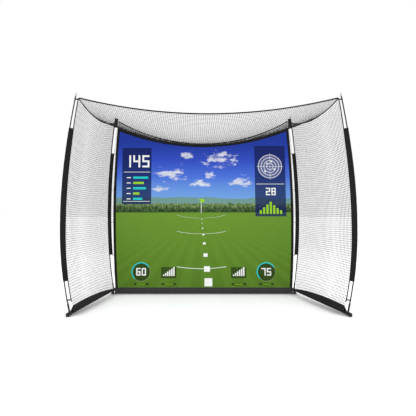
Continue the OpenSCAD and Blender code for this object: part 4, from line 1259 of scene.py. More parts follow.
def seam_line(side, t):
    """The cord between roof and side net, from front to rear."""
    t = np.atleast_1d(t)
    line = SEAM_FRONT[side] + t[:, None] * (SEAM_REAR[side] - SEAM_FRONT[side])
    line[:, 2] -= dip(t, SEAM_SPAN, SEAM_SAG)
    return line


def front_line(t):
    """The roof's front cord, from left to right."""
    t = np.atleast_1d(t)
    line = FRONT_CORNER * FLIP + t[:, None] * (FRONT_CORNER - FRONT_CORNER * FLIP)
    down = math.hypot(FRONT_SAG, FRONT_PULL)
    d = dip(t, 2 * FRONT_CORNER[0], down) / down
    line[:, 1] += d * FRONT_PULL
    line[:, 2] -= d * FRONT_SAG
    return line


def back_line(t):
    """The roof's rear cord, from left to right."""
    t = np.atleast_1d(t)
    line = BACK_CORNER * FLIP + t[:, None] * (BACK_CORNER - BACK_CORNER * FLIP)
    line[:, 2] -= dip(t, 2 * BACK_CORNER[0], BACK_SAG)
    return line


def side_surface(side, us, vs):
    """The sheet of a side net, between its poles, skirt and seam."""
    rear = np.array([net_rear_edge(side, v) for v in vs])
    front = np.array([net_front_edge(side, v) for v in vs])
    u, v = us[None, :, None], vs[:, None, None]
    p = rear[:, None] * (1 - u) + front[:, None] * u
    up = side_at(side, 0, -SKIRT_LEAN, 1) - side_at(side, 0, 0, 0)
    p = p + (1 - v) * dip(u, SKIRT_SPAN, SKIRT_BOW) * up
    p[..., 2] -= (v * dip(u, SEAM_SPAN, SEAM_SAG))[..., 0]
    return p


def roof_edge(side, v):
    """The roof's side edge, beside the seam cord."""
    rise = np.array([-BESIDE * side, 0, 0.0015])
    back = (BACK_CORNER - (0, BESIDE, 0)) * (1 if side > 0 else FLIP)
    line = seam_line(side, v) + rise
    return line + (v ** 16)[:, None] * (back - SEAM_REAR[side] - rise)


def roof_surface(us, vs):
    """The sheet of the roof, stretched between its four edges."""
    u, v = us[None, :, None], vs[:, None, None]
    front, back = front_line(us) + (0, BESIDE, 0), back_line(us) - (0, BESIDE, 0)
    left, right = roof_edge(-1, vs), roof_edge(1, vs)
    p = front[None] * (1 - v) + back[None] * v + left[:, None] * (1 - u) + right[:, None] * u
    corners = ((left[0] * (1 - u) + right[0] * u) * (1 - v) +
               (left[-1] * (1 - u) + right[-1] * u) * v)
    return p - corners


def back_surface(us, vs):
    """The sheet of the back net, between the rear poles."""
    edge = {s: np.array([REAR[s].at(lerp(-0.040, BACK_HIGH - SEAM_LIFT, v), -WEB - CORD_GAP)
                         for v in vs]) for s in (-1, 1)}
    u, v = us[None, :, None], vs[:, None, None]
    p = edge[-1][:, None] * (1 - u) + edge[1][:, None] * u
    p[..., 2] -= (v * dip(u, 2 * BACK_CORNER[0], BACK_SAG))[..., 0]
    return p


def loosened(points, seed, inside=0.0002, bulge=0.003):
    """Uneven knots and a shallow drift of a hanging net; its borders stay where they are."""
    rng = np.random.default_rng(seed)
    rows, cols = points.shape[:2]
    edge = np.minimum(np.minimum(np.arange(cols)[None], cols - 1 - np.arange(cols)[None]),
                      np.minimum(np.arange(rows)[:, None], rows - 1 - np.arange(rows)[:, None]))
    keep = np.clip(edge / 4, 0, 1)
    a = np.arange(rows)[:, None] / 9.0
    b = np.arange(cols)[None] / 11.0
    p = rng.uniform(0, 6.28, 12)
    drift = [np.sin(a * (0.7 + 0.3 * k) + p[k]) * np.sin(b * (0.6 + 0.35 * k) + p[k + 3])
             for k in range(3)]
    out = points.copy()
    for k in range(3):
        out[..., k] += keep * (drift[k] * bulge + rng.normal(0, inside, (rows, cols)))
    return out


def net_lines(points):
    """A net's strands and its four thicker borders, with their radii."""
    rows = [points[j] for j in range(1, points.shape[0] - 1)]
    cols = [points[:, i] for i in range(1, points.shape[1] - 1)]
    border = [points[0], points[-1], points[:, 0], points[:, -1]]
    return rows + cols + border, [STRAND_R] * (len(rows) + len(cols)) + [BORDER_R] * 4


def counts(*sizes):
    """Where the strands cross each side of a sheet, as shares of that side."""
    return [np.linspace(0, 1, int(round(size / MESH)) + 1) for size in sizes]


def net_mesh(name, surface, width, length, seed):
    """A net laid on a surface."""
    us, vs = counts(width, length)
    lines, thick = net_lines(loosened(surface(us, vs), seed))
    return strand_mesh(name, lines, thick, M_NET, 4, NET_ROUGHEN)


# ------------------------------------------------------------------ cloth helpers
def cloth_ring(path, thick):
    """A closed ring of 2-D points round an open path of cloth of some thickness."""
    path = np.asarray(path, float)
    t = np.gradient(path, axis=0)
    t /= np.linalg.norm(t, axis=1)[:, None] + 1e-12
    n = np.stack([t[:, 1], -t[:, 0]], 1)
    return np.concatenate([path + n * thick / 2, (path - n * thick / 2)[::-1]])


def eased(points, count):
    """A rounded open path through a few 2-D points."""
    p = np.asarray(points, float)
    for _ in range(3):
        a, b = p[:-1] * 0.75 + p[1:] * 0.25, p[:-1] * 0.25 + p[1:] * 0.75
        p = np.concatenate([p[:1], np.stack([a, b], 1).reshape(-1, 2), p[-1:]])
    run = run_length(p)
    at = np.linspace(0, run[-1], count)
    return np.stack([np.interp(at, run, p[:, k]) for k in range(2)], 1), run[-1]


def tube_along(shape, points, r, sides):
    """A round cord through points."""
    p = np.asarray(points, float)
    t = np.gradient(p, axis=0)
    t /= np.linalg.norm(t, axis=1)[:, None]
    u = np.cross(t, (0.21, 0.35, 0.91))
    u /= np.linalg.norm(u, axis=1)[:, None]
    v = np.cross(t, u)
    a = np.linspace(0, 2 * math.pi, sides, endpoint=False)
    r = np.broadcast_to(r, len(p))[:, None, None]
    rows = p[:, None] + r * (np.cos(a)[None, :, None] * u[:, None] + np.sin(a)[None, :, None]
                             * v[:, None])
    shape.grid(rows, wrap=True, cap=True)


def ramp_to(obj, body):
    """Bakes a piece's placement into its mesh."""
    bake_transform(obj)


# ------------------------------------------------------------------ sleeves' fittings
def rear_pockets():
    """Short closed pockets of webbing on the rear poles' ends that hold the net's corners."""
    low, high = RODS * ROD - 0.032 - 0.130, RODS * ROD - 0.0322
    ring = sleeve_outline(0.0088, WEB, WEB_HALF, 18)
    run = run_length(ring)
    stations = np.concatenate([[low, low + 0.001], np.linspace(low + 0.006, high - 0.006, 10),
                               [high - 0.001, high]])
    shape = Shape()
    for side, _ in SIDES:
        bow = REAR[side]
        rows = along_bow(bow, stations, lambda s: ring * (1 if low < s < high else 0.985))
        uv = [flat_uv(run, s) for s in stations]
        shape.grid(rows, uv, wrap=True)
        hole = circle(0.0075, 24)
        shape.grid(along_bow(bow, stations, hole)[:, ::-1], wrap=True)
        for k in (0, -1):
            end_cap(shape, rows[k], ring_at(bow, stations[k], hole), uv[k], stations[k])
    shape.make("top_pockets", M_WEBBING, body="rear_frame", cad="rear_pockets",
               slot="black_webbing", angle=60)


def corner_loops(side, word, body):
    """Two flat loops of webbing that hold the side net's front corners to the pole."""
    s = Shape()
    bow, r, t = FRONT[side], 0.0082, 0.0014
    turn = np.linspace(math.radians(172), -math.radians(172), 26)
    loop = [(r * math.cos(a), r * math.sin(a)) for a in turn]
    wrap = EDGE_CORD_R + WRAP_GAP
    for low in (FRONT_RUN_NET[0] + 0.008, FRONT_RUN_NET[1] - 0.018):
        edge = EDGE_REACH + web_drift(low)
        reach = [(-x, 0.0010) for x in np.linspace(edge - wrap - 0.0008, r + 0.0012, 9)]
        round_cord = [(-edge + wrap * math.cos(a), wrap * math.sin(a))
                      for a in np.radians(np.linspace(170, 16, 9))]
        path = round_cord + reach + loop + [(x, -y) for x, y in reach[::-1]]
        ring = cloth_ring(path + [(x, -y) for x, y in round_cord[::-1]], t)
        run = run_length(ring)
        stations = np.linspace(low, low + 0.014, 6)
        uv = [flat_uv(run, x) for x in stations]
        s.grid(along_bow(bow, stations, ring), uv, wrap=True, cap=True)
    s.make("net_loops_" + word, M_WEBBING, body=body, cad="corner_loops_" + word,
           slot="black_webbing", angle=50)


def laced_cord(name, points, cad, r, phase):
    """A round edge cord with the twine that laces it to the mesh."""
    s = Shape()
    tube_along(s, points, r, 12)
    obj = s.make(name, M_BRAID, cad=cad, slot="black_cord", angle=60)
    lace = helix(points, r + 0.0008, LACE_PITCH, 8, phase)
    merge(obj, strand_mesh(name + "_lace", [lace], 0.0013, M_NET, 5, 0.3))
    obj.data.polygons.foreach_set("use_smooth", [True] * len(obj.data.polygons))
    return obj


def edge_cord(side, word, body):
    """The cord of a side net's front edge."""
    stations = np.linspace(FRONT_RUN_NET[0] - 0.008, FRONT_RUN_NET[1] + 0.001, 130)
    points = [FRONT[side].at(s, -EDGE_REACH - web_drift(s)) for s in stations]
    obj = laced_cord("net_edge_" + word, points, "edge_cord_" + word, EDGE_CORD_R, 2)
    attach(obj, body)


# where the roof and the sides turn from the rear frame to a side frame
SEAM_TURN = {s: seam_line(s, 0.68)[0][:2] for s in (-1, 1)}
FRONT_MIDDLE = np.array([0.0, front_line(0.5)[0][1] - 0.012])


def side_ramp(obj, body):
    """Bakes the placement of a side net or its seam into its mesh."""
    ramp_to(obj, body)


def front_ramp(obj, side, body):
    """Bakes the placement of one of the roof's front parts into its mesh."""
    ramp_to(obj, body)


def rear_ramp(obj, side, body):
    """Bakes the placement of one of the roof's rear parts into its mesh."""
    ramp_to(obj, body)


def seam_cord(side, word, body):
    """The cord between roof and side net."""
    points = seam_line(side, np.linspace(0.0015, 0.9985, 70))
    obj = laced_cord("roof_seam_" + word, points, "seam_cord_" + word, SEAM_CORD_R, 3)
    side_ramp(obj, body)


def roof_front_cord():
    """The roof's front edge in two halves, one for each side frame."""
    for side, word in SIDES:
        a = np.linspace(0.5, 0.5 + side * 0.4975, 70)
        obj = laced_cord("roof_front_edge_" + word, front_line(a), "roof_front_cord",
                         ROOF_CORD_R, 4)
        front_ramp(obj, side, word + "_wing")


def back_top_cord():
    """The cord of the roof's rear edge."""
    points = back_line(np.linspace(0.0025, 0.9975, 130))
    obj = laced_cord("back_seam", points, "back_top_cord", BACK_CORD_R, 5)
    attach(obj, "rear_frame")


# ------------------------------------------------------------------ nets
SIDE_NET, BACK_NET, ROOF_NET = (1.20, 2.24), (2.44, 2.20), (2.90, 1.25)


def side_net(side, word, body):
    """A side frame's net."""
    width, length = SIDE_NET
    mesh = net_mesh("side_mesh_" + word, lambda u, v: side_surface(side, u, v), width, length,
                    21 + side)
    obj = finish("side_mesh_" + word, mesh, M_NET, None, "side_net_" + word)
    side_ramp(obj, body)


def back_net():
    """The net behind the screen."""
    mesh = net_mesh("back_mesh", back_surface, *BACK_NET, 31)
    obj = finish("back_mesh", mesh, M_NET, "rear_frame", "back_net")


def left_of(p, a, b):
    """More than 0 where p lies on the left of the way from a to b."""
    return (b[0] - a[0]) * (p[1] - a[1]) - (b[1] - a[1]) * (p[0] - a[0])


def roof_part(p):
    """Which of the roof's four parts a point lies in: (side, 0 for the rear part or 1)."""
    side = 1 if p[0] > 0 else -1
    return side, int(left_of(p, FRONT_MIDDLE, SEAM_TURN[side]) * side < 0)


def cut_line(points):
    """Cuts a polyline where it passes from one part of the roof to the next."""
    cuts = [(np.array([0.0, -2.0]), np.array([0.0, 2.0]))]
    cuts += [(FRONT_MIDDLE, SEAM_TURN[s]) for s in (-1, 1)]
    p = np.asarray(points)
    for a, b in cuts:
        f = left_of(p.T, a, b)
        rows = [p[0]]
        for i in range(len(p) - 1):
            if f[i] * f[i + 1] < 0:
                t = f[i] / (f[i] - f[i + 1])
                if 0.02 < t < 0.98:
                    rows.append(p[i] + t * (p[i + 1] - p[i]))
            rows.append(p[i + 1])
        p = np.array(rows)
    labels = [roof_part((p[i] + p[i + 1]) / 2) for i in range(len(p) - 1)]
    runs, start = [], 0
    for i in range(1, len(labels) + 1):
        if i == len(labels) or labels[i] != labels[start]:
            runs.append((labels[start], p[start:i + 1]))
            start = i
    return runs


def roof_net():
    """The roof's mesh, in four parts that meet strand to strand."""
    us, vs = counts(*ROOF_NET)
    lines, thick = net_lines(loosened(roof_surface(us, vs), 41))
    parts = {}
    for line, r in zip(lines, thick):
        for label, run in cut_line(line):
            parts.setdefault(label, []).append((run, r))
    for (side, ahead), runs in sorted(parts.items()):
        word = "left" if side < 0 else "right"
        name = ("roof_mesh_front_" if ahead else "roof_mesh_rear_") + word
        mesh = strand_mesh(name, [r[0] for r in runs], [r[1] for r in runs], M_NET, 4,
                           NET_ROUGHEN)
        obj = finish(name, mesh, M_NET, None, "roof_net")
        (front_ramp if ahead else rear_ramp)(obj, side, word + "_wing")


# ------------------------------------------------------------------ impact screen
TILT = math.radians(REAR_TILT)
SCREEN_LOW = (SCREEN_FOOT_Z - REAR_MOUTH[2] - SCREEN_AHEAD * math.sin(TILT)) / math.cos(TILT)
SCREEN_ARC = (SCREEN_TOP ** 2 / 4 + SCREEN_SAG ** 2) / (2 * SCREEN_SAG)
TIE_HEIGHTS = (0.440, 0.890, 1.350, 1.860)
SCREEN_COLS, SCREEN_ROWS = 150, 120


def on_screen(x, h, ahead):
    """A point of the screen's plane: across, up from its foot and ahead of the poles."""
    up = SCREEN_LOW + h
    return np.stack(np.broadcast_arrays(
        x, REAR_MOUTH[1] + up * math.sin(TILT) - ahead * math.cos(TILT),
        REAR_MOUTH[2] + up * math.cos(TILT) + ahead * math.sin(TILT)), -1)


def screen_edge(h):
    """Half the screen's width at a height above its foot."""
    return lerp(SCREEN_FOOT, SCREEN_TOP, h / SCREEN_SIDE) / 2 + dip(h / SCREEN_SIDE, SCREEN_SIDE,
                                                                     SCREEN_BOW)


def screen_top(x):
    """The height of the screen's upper edge, which sags in an arc."""
    return SCREEN_SIDE - SCREEN_SAG + SCREEN_ARC - np.sqrt(SCREEN_ARC ** 2 - np.asarray(x) ** 2)


def screen_wave(x, h):
    """Slack in the hung screen: long upright folds that fade towards its foot and ties."""
    side = np.abs(x) / 1.21
    folds = np.sin(x * 9.3 + 0.8 * np.sin(h * 1.7)) * 0.5 + np.sin(x * 21.0 + 1.3) * 0.16
    pull = sum(np.exp(-((h - t) / 0.11) ** 2) for t in TIE_HEIGHTS)
    edge = np.sin(h * 13.6 + 0.6) * (1 - 0.7 * np.clip(pull, 0, 1)) * side ** 6
    lift = 1 - np.exp(-h / 0.25)
    return 0.0021 * folds * lift * (1 - side ** 6) + 0.0014 * edge * lift


def screen_grid(us, vs, ahead):
    """Rows of points and their cloth coordinates."""
    u, v = us[None, :], vs[:, None]
    h = v * screen_top(u * (SCREEN_TOP / 2))
    x = u * screen_edge(h)
    p = on_screen(x, h, ahead + screen_wave(x, h))
    return p, np.stack(np.broadcast_arrays(x, h, 0.0), -1)


def impact_screen():
    """The printed cloth with its white back, a thin closed sheet."""
    us, vs = np.linspace(-1, 1, SCREEN_COLS), np.linspace(0, 1, SCREEN_ROWS)
    shape = Shape()
    front, uv = screen_grid(us, vs, SCREEN_AHEAD + 0.0022)
    back, _ = screen_grid(us, vs, SCREEN_AHEAD + 0.0004)
    n, m = len(us), len(vs)
    shape.grid(front, uv)
    shape.grid(back[:, ::-1], uv[:, ::-1])
    size = n * m
    rim = [(0, i) for i in range(n - 1)] + [(j, n - 1) for j in range(m - 1)]
    rim += [(m - 1, i) for i in range(n - 1, 0, -1)] + [(j, 0) for j in range(m - 1, 0, -1)]
    for k, (j, i) in enumerate(rim):
        j2, i2 = rim[(k + 1) % len(rim)]
        shape.f.append((j2 * n + i2, j * n + i, size + j * n + n - 1 - i,
                        size + j2 * n + n - 1 - i2))
    obj = shape.make("range_screen", [M_PRINT, M_BACK], body="rear_frame", cad="impact_screen",
                     slot="printed_screen", angle=40)
    normal = np.array([0, -math.cos(TILT), math.sin(TILT)])
    for face in obj.data.polygons:
        face.material_index = 0 if np.dot(face.normal, normal) > 0 else 1


def screen_border():
    """Webbing sewn round the screen's sides and top, folded over its edge."""
    width, rise = 0.034, SCREEN_AHEAD + 0.0028
    cut = SCREEN_SIDE - width * 0.86
    share = np.linspace(0, 1, SCREEN_ROWS)
    half = screen_edge(share * SCREEN_SIDE)
    up, up_inner = (np.stack([w, share * top], 1) for w, top in ((half, SCREEN_SIDE),
                                                                 (half - width, cut)))
    x = np.linspace(-1, 1, SCREEN_COLS)[1:-1] * SCREEN_TOP / 2
    slope = x / np.sqrt(SCREEN_ARC ** 2 - x ** 2)
    nx, ny = slope / np.sqrt(1 + slope ** 2), -1 / np.sqrt(1 + slope ** 2)
    ix = np.clip(x + nx * width, -SCREEN_TOP / 2 + width, SCREEN_TOP / 2 - width)
    over = np.stack([x, screen_top(x)], 1)
    over_inner = np.stack([ix, np.minimum(screen_top(x) + ny * width, cut)], 1)
    edge = np.concatenate([up * (-1, 1), over, up[::-1]])
    inner = np.concatenate([up_inner * (-1, 1), over_inner, up_inner[::-1]])
    run = run_length(edge)
    rows, uv = [], []
    section = ((0.0, -0.0034, -0.0008), (0.0, 0.0002, 0.0010), (0.02, 0.0005, 0.0),
               (0.10, 0.0007, 0.0), (0.12, 0.0004, 0.0), (0.16, 0.0008, 0.0),
               (0.55, 0.0010, 0.0), (0.88, 0.0008, 0.0), (0.91, 0.0004, 0.0),
               (0.95, 0.0006, 0.0), (1.0, 0.0002, 0.0), (1.0, -0.0004, 0.0),
               (0.6, -0.0006, 0.0), (0.03, -0.0006, 0.0), (0.03, -0.0034, 0.0))
    mid = inner - edge
    for f, lift, out in section:
        p = edge + mid * f - mid / np.linalg.norm(mid, axis=1)[:, None] * out
        ripple = 0.0003 * waves(run, int(f * 40) + 3, 4, 30, 150)
        rows.append(on_screen(p[:, 0], p[:, 1], rise + lift + ripple * (f > 0.05) * (lift > 0)
                              + screen_wave(p[:, 0], p[:, 1])))
        uv.append(flat_uv(run, f * width))
    rows, uv = np.array(rows).transpose(1, 0, 2), np.array(uv).transpose(1, 0, 2)
    s = Shape().grid(rows, uv, wrap=True, cap=True)
    s.make("screen_webbing", M_WEBBING, body="rear_frame", cad="screen_border",
           slot="black_webbing", angle=60)


def screen_ties():
    """Elastic loops from eyelets in the screen's border round the webs of the rear sleeves."""
    s = Shape()
    for side, _ in SIDES:
        for h in TIE_HEIGHTS:
            x = screen_edge(h)
            lean = REAR[1].flat(SCREEN_LOW + h)
            web = REAR_MOUTH[0] + lean[0] - WEB * math.cos(lean[2])
            face = SCREEN_AHEAD + 0.0050
            keys = [(x - 0.014, face - 0.0020), (x - 0.0138, face + 0.0018),
                    (x - 0.006, face + 0.003), (x + 0.001, face + 0.0012), ((x + web) / 2, 0.0110),
                    (web - 0.004, 0.0056), (web + 0.004, 0.0046), (web + 0.012, 0.0041)]
            line, _ = eased(keys, 26)
            for dz in (-0.0022, 0.0022):
                spread = np.linspace(0.25, 1, len(line))
                pts = [on_screen(side * a, h + dz * k, b) for (a, b), k in zip(line, spread)]
                tube_along(s, pts, 0.0017, 8)
            knot = on_screen(side * (web + 0.013), h, 0.0044)
            s.turned([(-0.0045, 0.0008), (-0.0035, 0.0026), (0, 0.0033), (0.0035, 0.0026),
                      (0.0045, 0.0008)], knot, (0, 0, 1), 12, cap=True)
    s.make("tie_loops", M_BRAID, body="rear_frame", cad="screen_ties", slot="black_cord", angle=50)


def bottom_flap(name, low, high, cad, seed):
    """A loop of cloth round the rear tube, up to the screen's foot, with a sewn hem."""
    keys = [(-0.0128, 0.0874), (-0.0142, 0.0805), (-0.0180, 0.070), (-0.0203, 0.058),
            (-0.0203, 0.040), (-0.0203, 0.022), (-0.0190, 0.0105), (-0.0140, 0.0045),
            (-0.002, 0.0037), (0.010, 0.0040), (0.0180, 0.0090), (0.0203, 0.022), (0.0203, 0.042),
            (0.0203, 0.062), (0.0190, 0.075), (0.0100, 0.0815), (-0.004, 0.0840),
            (-0.0108, 0.0862)]
    path, length = eased(keys, 84)
    stations = np.linspace(low, high, int((high - low) / 0.010) + 2)
    folds = creases(seed, 8, 70, 4)
    a = np.linspace(0, 1, len(path))
    run = np.linspace(0, length, len(path))
    both = np.concatenate([run, run[::-1]])
    rows, uv = [], []
    for x in stations:
        crease = crease_at(folds, x, a, 6)
        hem = min(x - low, high - x) < 0.012
        amount = 0.0013 * np.sin(math.pi * a).clip(0) ** 0.5 * (0.5 if hem else 1)
        bent = path.copy()
        bent[:, 0] += np.sign(path[:, 0]) * amount * (crease - 0.25)
        bent[:, 1] = np.maximum(bent[:, 1] + amount * crease * 0.3, 0.0026)
        ring = cloth_ring(bent, 0.0013 if not hem else 0.0019)
        rows.append([(x, REAR_Y + q[0], q[1]) for q in ring])
        uv.append(flat_uv(x, both))
    s = Shape().grid(rows, uv, wrap=True, cap=True)
    obj = s.make(name, M_FLAP, body="rear_frame", cad=cad, slot="black_cloth", angle=60)
    seams = []
    for x in (low + 0.009, high - 0.009):
        seams.append([(x, REAR_Y + q[0] + math.copysign(0.0016, q[0]) * (0.012 < q[1]),
                       q[1] - 0.0012 * (q[1] < 0.009)) for q in path[3:-4]])
    for z in (0.0790, 0.0745):
        y = np.interp(z, path[:20, 1][::-1], path[:20, 0][::-1])
        seams.append([(x, REAR_Y + y - 0.0014, z) for x in
                      np.linspace(low + 0.006, high - 0.006, int((high - low) * 60))])
    merge(obj, stitch_mesh(name + "_stitches", seams, M_BRAID, 0.0075, 0.0052, 0.0004))


# ------------------------------------------------------------------ side skirts
BUTTON_S = 0.5152
EYELET = 0.009


def skirt_path(h, turns):
    """The skirt's cloth at one place: (outward, up), from its top over the tube and back up."""
    r = 0.0172
    top = np.array([-h * SKIRT_LEAN, h])
    d, phi = np.linalg.norm(top), math.atan2(top[1], top[0])
    spread = math.acos(min(0.999, r / d))
    first, last = phi - spread, phi + spread - 2 * math.pi
    ang = first + (last - first) * turns
    arc = np.stack([r * np.cos(ang), r * np.sin(ang)], 1)
    lean = NET_GAP * np.array([math.cos(math.atan(SKIRT_LEAN)), math.sin(math.atan(SKIRT_LEAN))])
    up = np.linspace(0, 1, 11)[:-1, None]
    outer = top + lean + up * (arc[0] - top - lean)
    inner = top - lean + up * (arc[-1] - top + lean)
    return np.concatenate([outer, arc, inner[::-1]])


def side_skirt(side, word, body):
    """A folded strip of cloth laced over the side tube, taller towards the front."""
    stations = np.linspace(SKIRT_FROM, SKIRT_TO, 118)
    near = BUTTON_S + np.linspace(-0.018, 0.018, 9)
    stations = np.sort(np.concatenate([stations[np.abs(stations - BUTTON_S) > 0.020], near]))
    folds = creases(50 + side, 10, 60, 5)
    o, along, out, up = side_axes(side)
    rows, uv, tops = [], [], []
    turns = np.linspace(0, 1, 37)
    for x in stations:
        t = (x - SKIRT_FROM) / SKIRT_SPAN
        h = float(skirt_height(t))
        path = skirt_path(h, turns)
        a = np.linspace(0, 1, len(path))
        crease = crease_at(folds, x, a, 3)
        loose = np.clip((path[:, 1] - 0.006) / 0.03, 0, 1) * np.clip((h - path[:, 1]) / 0.01, 0, 1)
        normal = np.where(a < 0.5, 1.0, -1.0)
        path[:, 0] += normal * 0.0016 * loose * (crease + 0.55) + 0.0022 * loose * math.sin(
            x * 17 + side)
        ring = cloth_ring(path, 0.0011)
        length = run_length(path)
        rows.append([o + along * x + out * q[0] + up * q[1] for q in ring])
        uv.append(flat_uv(x, np.concatenate([length, length[::-1]])))
        tops.append(o + along * x + out * path[0, 0] + up * (path[0, 1] - 0.006) + out * 0.0028)
    s = Shape().grid(rows, uv, wrap=True, cap=True)
    obj = s.make("skirt_" + word, M_SKIRT, body=body, cad="side_skirt_" + word,
                 slot="black_cloth", angle=60)
    bore(obj, o + along * BUTTON_S, along, out, EYELET)
    merge(obj, stitch_mesh("skirt_stitches", [tops], M_BRAID, 0.0085, 0.006, 0.0004))


def bore(obj, centre, along, out, r):
    """A round hole of radius r in a piece's walls on one side of centre, for a snap button."""
    cutter = bmesh.new()
    bmesh.ops.create_cone(cutter, cap_ends=True, segments=32, radius1=r, radius2=r, depth=0.02)
    turn = Matrix([along, np.cross(out, along), out]).transposed().to_4x4()
    turn.translation = Vector(centre + out * 0.018)
    cutter.transform(turn)
    mesh = bpy.data.meshes.new("hole_cutter")
    cutter.to_mesh(mesh)
    cutter.free()
    tool = bpy.data.objects.new("hole_cutter", mesh)
    bpy.context.scene.collection.objects.link(tool)
    mod = obj.modifiers.new("bore", "BOOLEAN")
    mod.operation, mod.object, mod.solver = "DIFFERENCE", tool, "EXACT"
    bored = evaluated(obj)
    obj.modifiers.clear()
    old = obj.data
    obj.data = bored
    bored.materials.clear()
    bored.materials.append(old.materials[0])
    bpy.data.objects.remove(tool)
    bpy.data.meshes.remove(mesh)
    bpy.data.meshes.remove(old)


# ------------------------------------------------------------------ snap buttons
BUTTON_R, FLANGE_R = 0.0035, 0.0055
BUTTON_HOLE = BUTTON_R + 0.0003
SPIGOT_BORE = 0.0129
FLANGE, BUTTON_PROUD = 0.0015, 0.0025
FLANGE_LOW = math.sqrt(SPIGOT_BORE ** 2 - FLANGE_R ** 2) - 0.0003 - FLANGE


def snap_button(name, centre, out, body, cad):
    """A domed pin with a flange under the tube's wall."""
    low, top = FLANGE_LOW, TUBE_R + BUTTON_PROUD
    prof = [(low, 0.0004), (low, FLANGE_R - 0.0003), (low + 0.0003, FLANGE_R),
            (low + 0.0012, FLANGE_R), (low + FLANGE, FLANGE_R - 0.0003), (low + FLANGE, BUTTON_R),
            (top - 0.0012, BUTTON_R), (top - 0.0006, 0.0032), (top - 0.00015, 0.0022),
            (top, 0.0003)]
    s = Shape().turned(prof, centre, out, 28, cap=True)
    s.make(name, M_ZINC, body=body, cad=cad, slot="bright_steel", angle=30)


def button_spring(name, centre, along, out, cad):
    """A bent leaf of spring steel under the button's flange, which closes as that goes in."""
    width, leaf, length = 0.007, 0.0008, 0.046
    low = -math.sqrt(SPIGOT_BORE ** 2 - width ** 2 / 4) + 0.0001 + leaf / 2
    top = FLANGE_LOW - 0.0001 - leaf / 2
    keys = [(-0.0075, top), (0.0, top), (0.0075, top), (0.014, top * 0.85), (0.034, low * 0.5),
            (length - 0.003, low * 0.95), (length - 0.001, low * 0.55),
            (length - 0.002, low + 0.0002), (length - 0.006, low), (0.008, low), (-0.0075, low)]
    path, _ = eased(keys, 48)
    ring = cloth_ring(path, leaf)
    across = np.cross(out, along)
    rows = [[centre + along * q[0] + out * q[1] + across * w for q in ring]
            for w in (-width / 2, -width / 2 + 0.0003, width / 2 - 0.0003, width / 2)]
    obj = Shape().grid(rows, wrap=True, cap=True).make(name, M_ZINC, cad=cad,
                                                       slot="bright_steel", angle=30)
    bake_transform(obj)


def rear_buttons():
    """The snap buttons between the rear tubes."""
    for side, word in SIDES:
        c, out = rear_hole(side)
        snap_button("rear_pin_" + word, c, out, "rear_button_%s_body" % word,
                    "rear_button_" + word)
        button_spring("rear_pin_spring_" + word, c, np.array([side * 1.0, 0, 0]), out,
                      "rear_button_springs")


def side_button(side, word):
    """The snap button between a side frame's tubes."""
    o, along, out, _ = side_axes(side)
    c = o + along * BUTTON_S
    snap_button("side_pin_" + word, c, out, "side_button_%s_body" % word, "side_button_" + word)
    button_spring("side_pin_spring_" + word, c, along, out,
                  "side_button_spring_" + word)


# ------------------------------------------------------------------ the whole net
FLAP_SPLIT, FLAP_GAP, FLAP_OVER = 0.4420, 0.0008, 0.008


def rear_frame_pieces():
    """All that rides on the rear tube: poles, sleeves, screen, flaps and buttons."""
    rear_tubes()
    corner_pads()
    hinge_bolts()
    caps, rings = Shape(), Shape()
    for side, word in SIDES:
        corner_bracket(side, word)
        rods(REAR[side], "pole_rear_" + word, "rear_frame", "rear_pole_" + word)
        sleeve("sleeve_rear_" + word, REAR[side], *REAR_SLEEVE, "rear_frame",
               "rear_sleeve_" + word, 3 + side)
        ferrules(REAR[side], rings)
        tip_cap(REAR[side], caps)
    rings.make("joint_bands_rear", M_FERRULE, body="rear_frame", cad="rear_ferrules",
               slot="ferrule_steel")
    caps.make("tips_rear", M_TIP, body="rear_frame", cad="rear_tip_caps", slot="grey_plastic")
    rear_pockets()
    impact_screen()
    screen_border()
    screen_ties()
    near, far, end = FLAP_SPLIT - FLAP_GAP, FLAP_SPLIT + FLAP_GAP, SCREEN_FOOT / 2 + FLAP_OVER
    bottom_flap("flap_centre", -near, near, "bottom_flap_centre", 61)
    bottom_flap("flap_right", far, end, "bottom_flap_right", 62)
    bottom_flap("flap_left", -end, -far, "bottom_flap_left", 63)
    rear_buttons()


def side_frame_pieces(side, word):
    """All that swings with one side frame."""
    body = word + "_wing"
    hinge_tongue(side, word, body)
    side_tubes(side, word, body)
    pole_socket(side, word, body)
    foot_cap(side, word, body)
    rods(FRONT[side], "pole_front_" + word, body, "front_pole_" + word)
    rings = Shape()
    ferrules(FRONT[side], rings)
    rings.make("joint_bands_" + word, M_FERRULE, body=body, cad="front_ferrules_" + word,
               slot="ferrule_steel")
    cap = Shape()
    tip_cap(FRONT[side], cap)
    cap.make("tip_front_" + word, M_TIP, body=body, cad="front_tip_cap_" + word,
             slot="grey_plastic")
    sleeve("sleeve_front_" + word, FRONT[side], *FRONT_SLEEVE, body, "front_sleeve_" + word,
           8 + side, drift=web_drift)
    edge_cord(side, word, body)
    corner_loops(side, word, body)
    side_skirt(side, word, body)
    side_button(side, word)


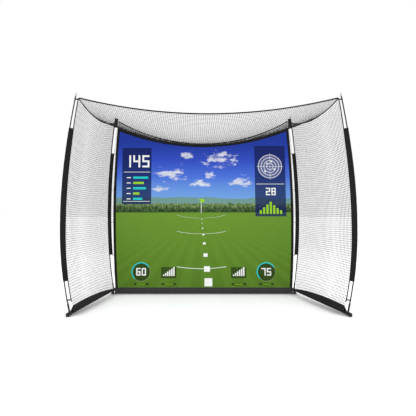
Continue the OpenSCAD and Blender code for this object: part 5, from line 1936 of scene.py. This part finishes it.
def net_pieces():
    """Nets and cords that belong to no single frame, and the nets of both."""
    for side, word in SIDES:
        seam_cord(side, word, word + "_wing")
        side_net(side, word, word + "_wing")
    roof_front_cord()
    back_top_cord()
    back_net()
    roof_net()


def camera():
    """The level camera in front of the net, with the lens shifted to frame it."""
    data = bpy.data.cameras.new("view")
    data.lens, data.sensor_width = 35.1, 36.0
    data.shift_x, data.shift_y = 0.0601, -0.013
    obj = bpy.data.objects.new("view", data)
    obj.location = (-0.285, -5.125, 1.25)
    obj.rotation_euler = (math.pi / 2, 0, 0)
    bpy.context.scene.collection.objects.link(obj)
    bpy.context.scene.camera = obj


def studio():
    """A pale floor with a painted contact shadow near the part and a faint painted glow, and soft
    light from above and both sides.
    """
    bpy.ops.mesh.primitive_plane_add(size=60)
    floor = bpy.context.object
    floor.name = "studio_floor"
    g = Graph("floor_painted_shadow_glow")
    # painted contact shadow: an ambient-occlusion node darkens the floor's colour to 0.30 within
    # 0.15 m of the part
    near = g.node("AmbientOcclusion", samples=8)
    near.inputs["Distance"].default_value = 0.15
    shade = g.step(near.outputs["AO"], 0.42, 1.0)
    tone = g.mix(shade, (0.30, 0.30, 0.30), (0.94, 0.94, 0.94))
    # painted glow: the floor emits its own tone at strength 0.22, less inside the painted shadow
    floor.data.materials.append(g.done(tone, 0.7, Emission_Color=tone, Emission_Strength=0.22))
    world = bpy.data.worlds.new("studio")
    bpy.context.scene.world = world
    world.use_nodes = True
    world.node_tree.nodes["Background"].inputs[0].default_value = (1, 1, 1, 1)
    world.node_tree.nodes["Background"].inputs[1].default_value = 1.0
    for name, place, size, power in (("top", (0.5, -1.0, 5.2), 5.0, 45),
                                     ("front", (-3.2, -5.5, 3.4), 3.0, 30),
                                     ("side", (4.6, -2.4, 2.6), 2.6, 25),
                                     ("back", (0.4, 4.5, 3.6), 4.0, 30)):
        data = bpy.data.lights.new(name, "AREA")
        data.size, data.energy = size, power
        lamp = bpy.data.objects.new(name, data)
        lamp.location = place
        aim = Vector((0, 0, 1.0)) - Vector(place)
        lamp.rotation_euler = aim.to_track_quat("-Z", "Y").to_euler()
        bpy.context.scene.collection.objects.link(lamp)


camera()
studio()
bpy.context.scene.view_settings.view_transform = "Standard"
rear_frame_pieces()
for _side, _word in SIDES:
    side_frame_pieces(_side, _word)
net_pieces()
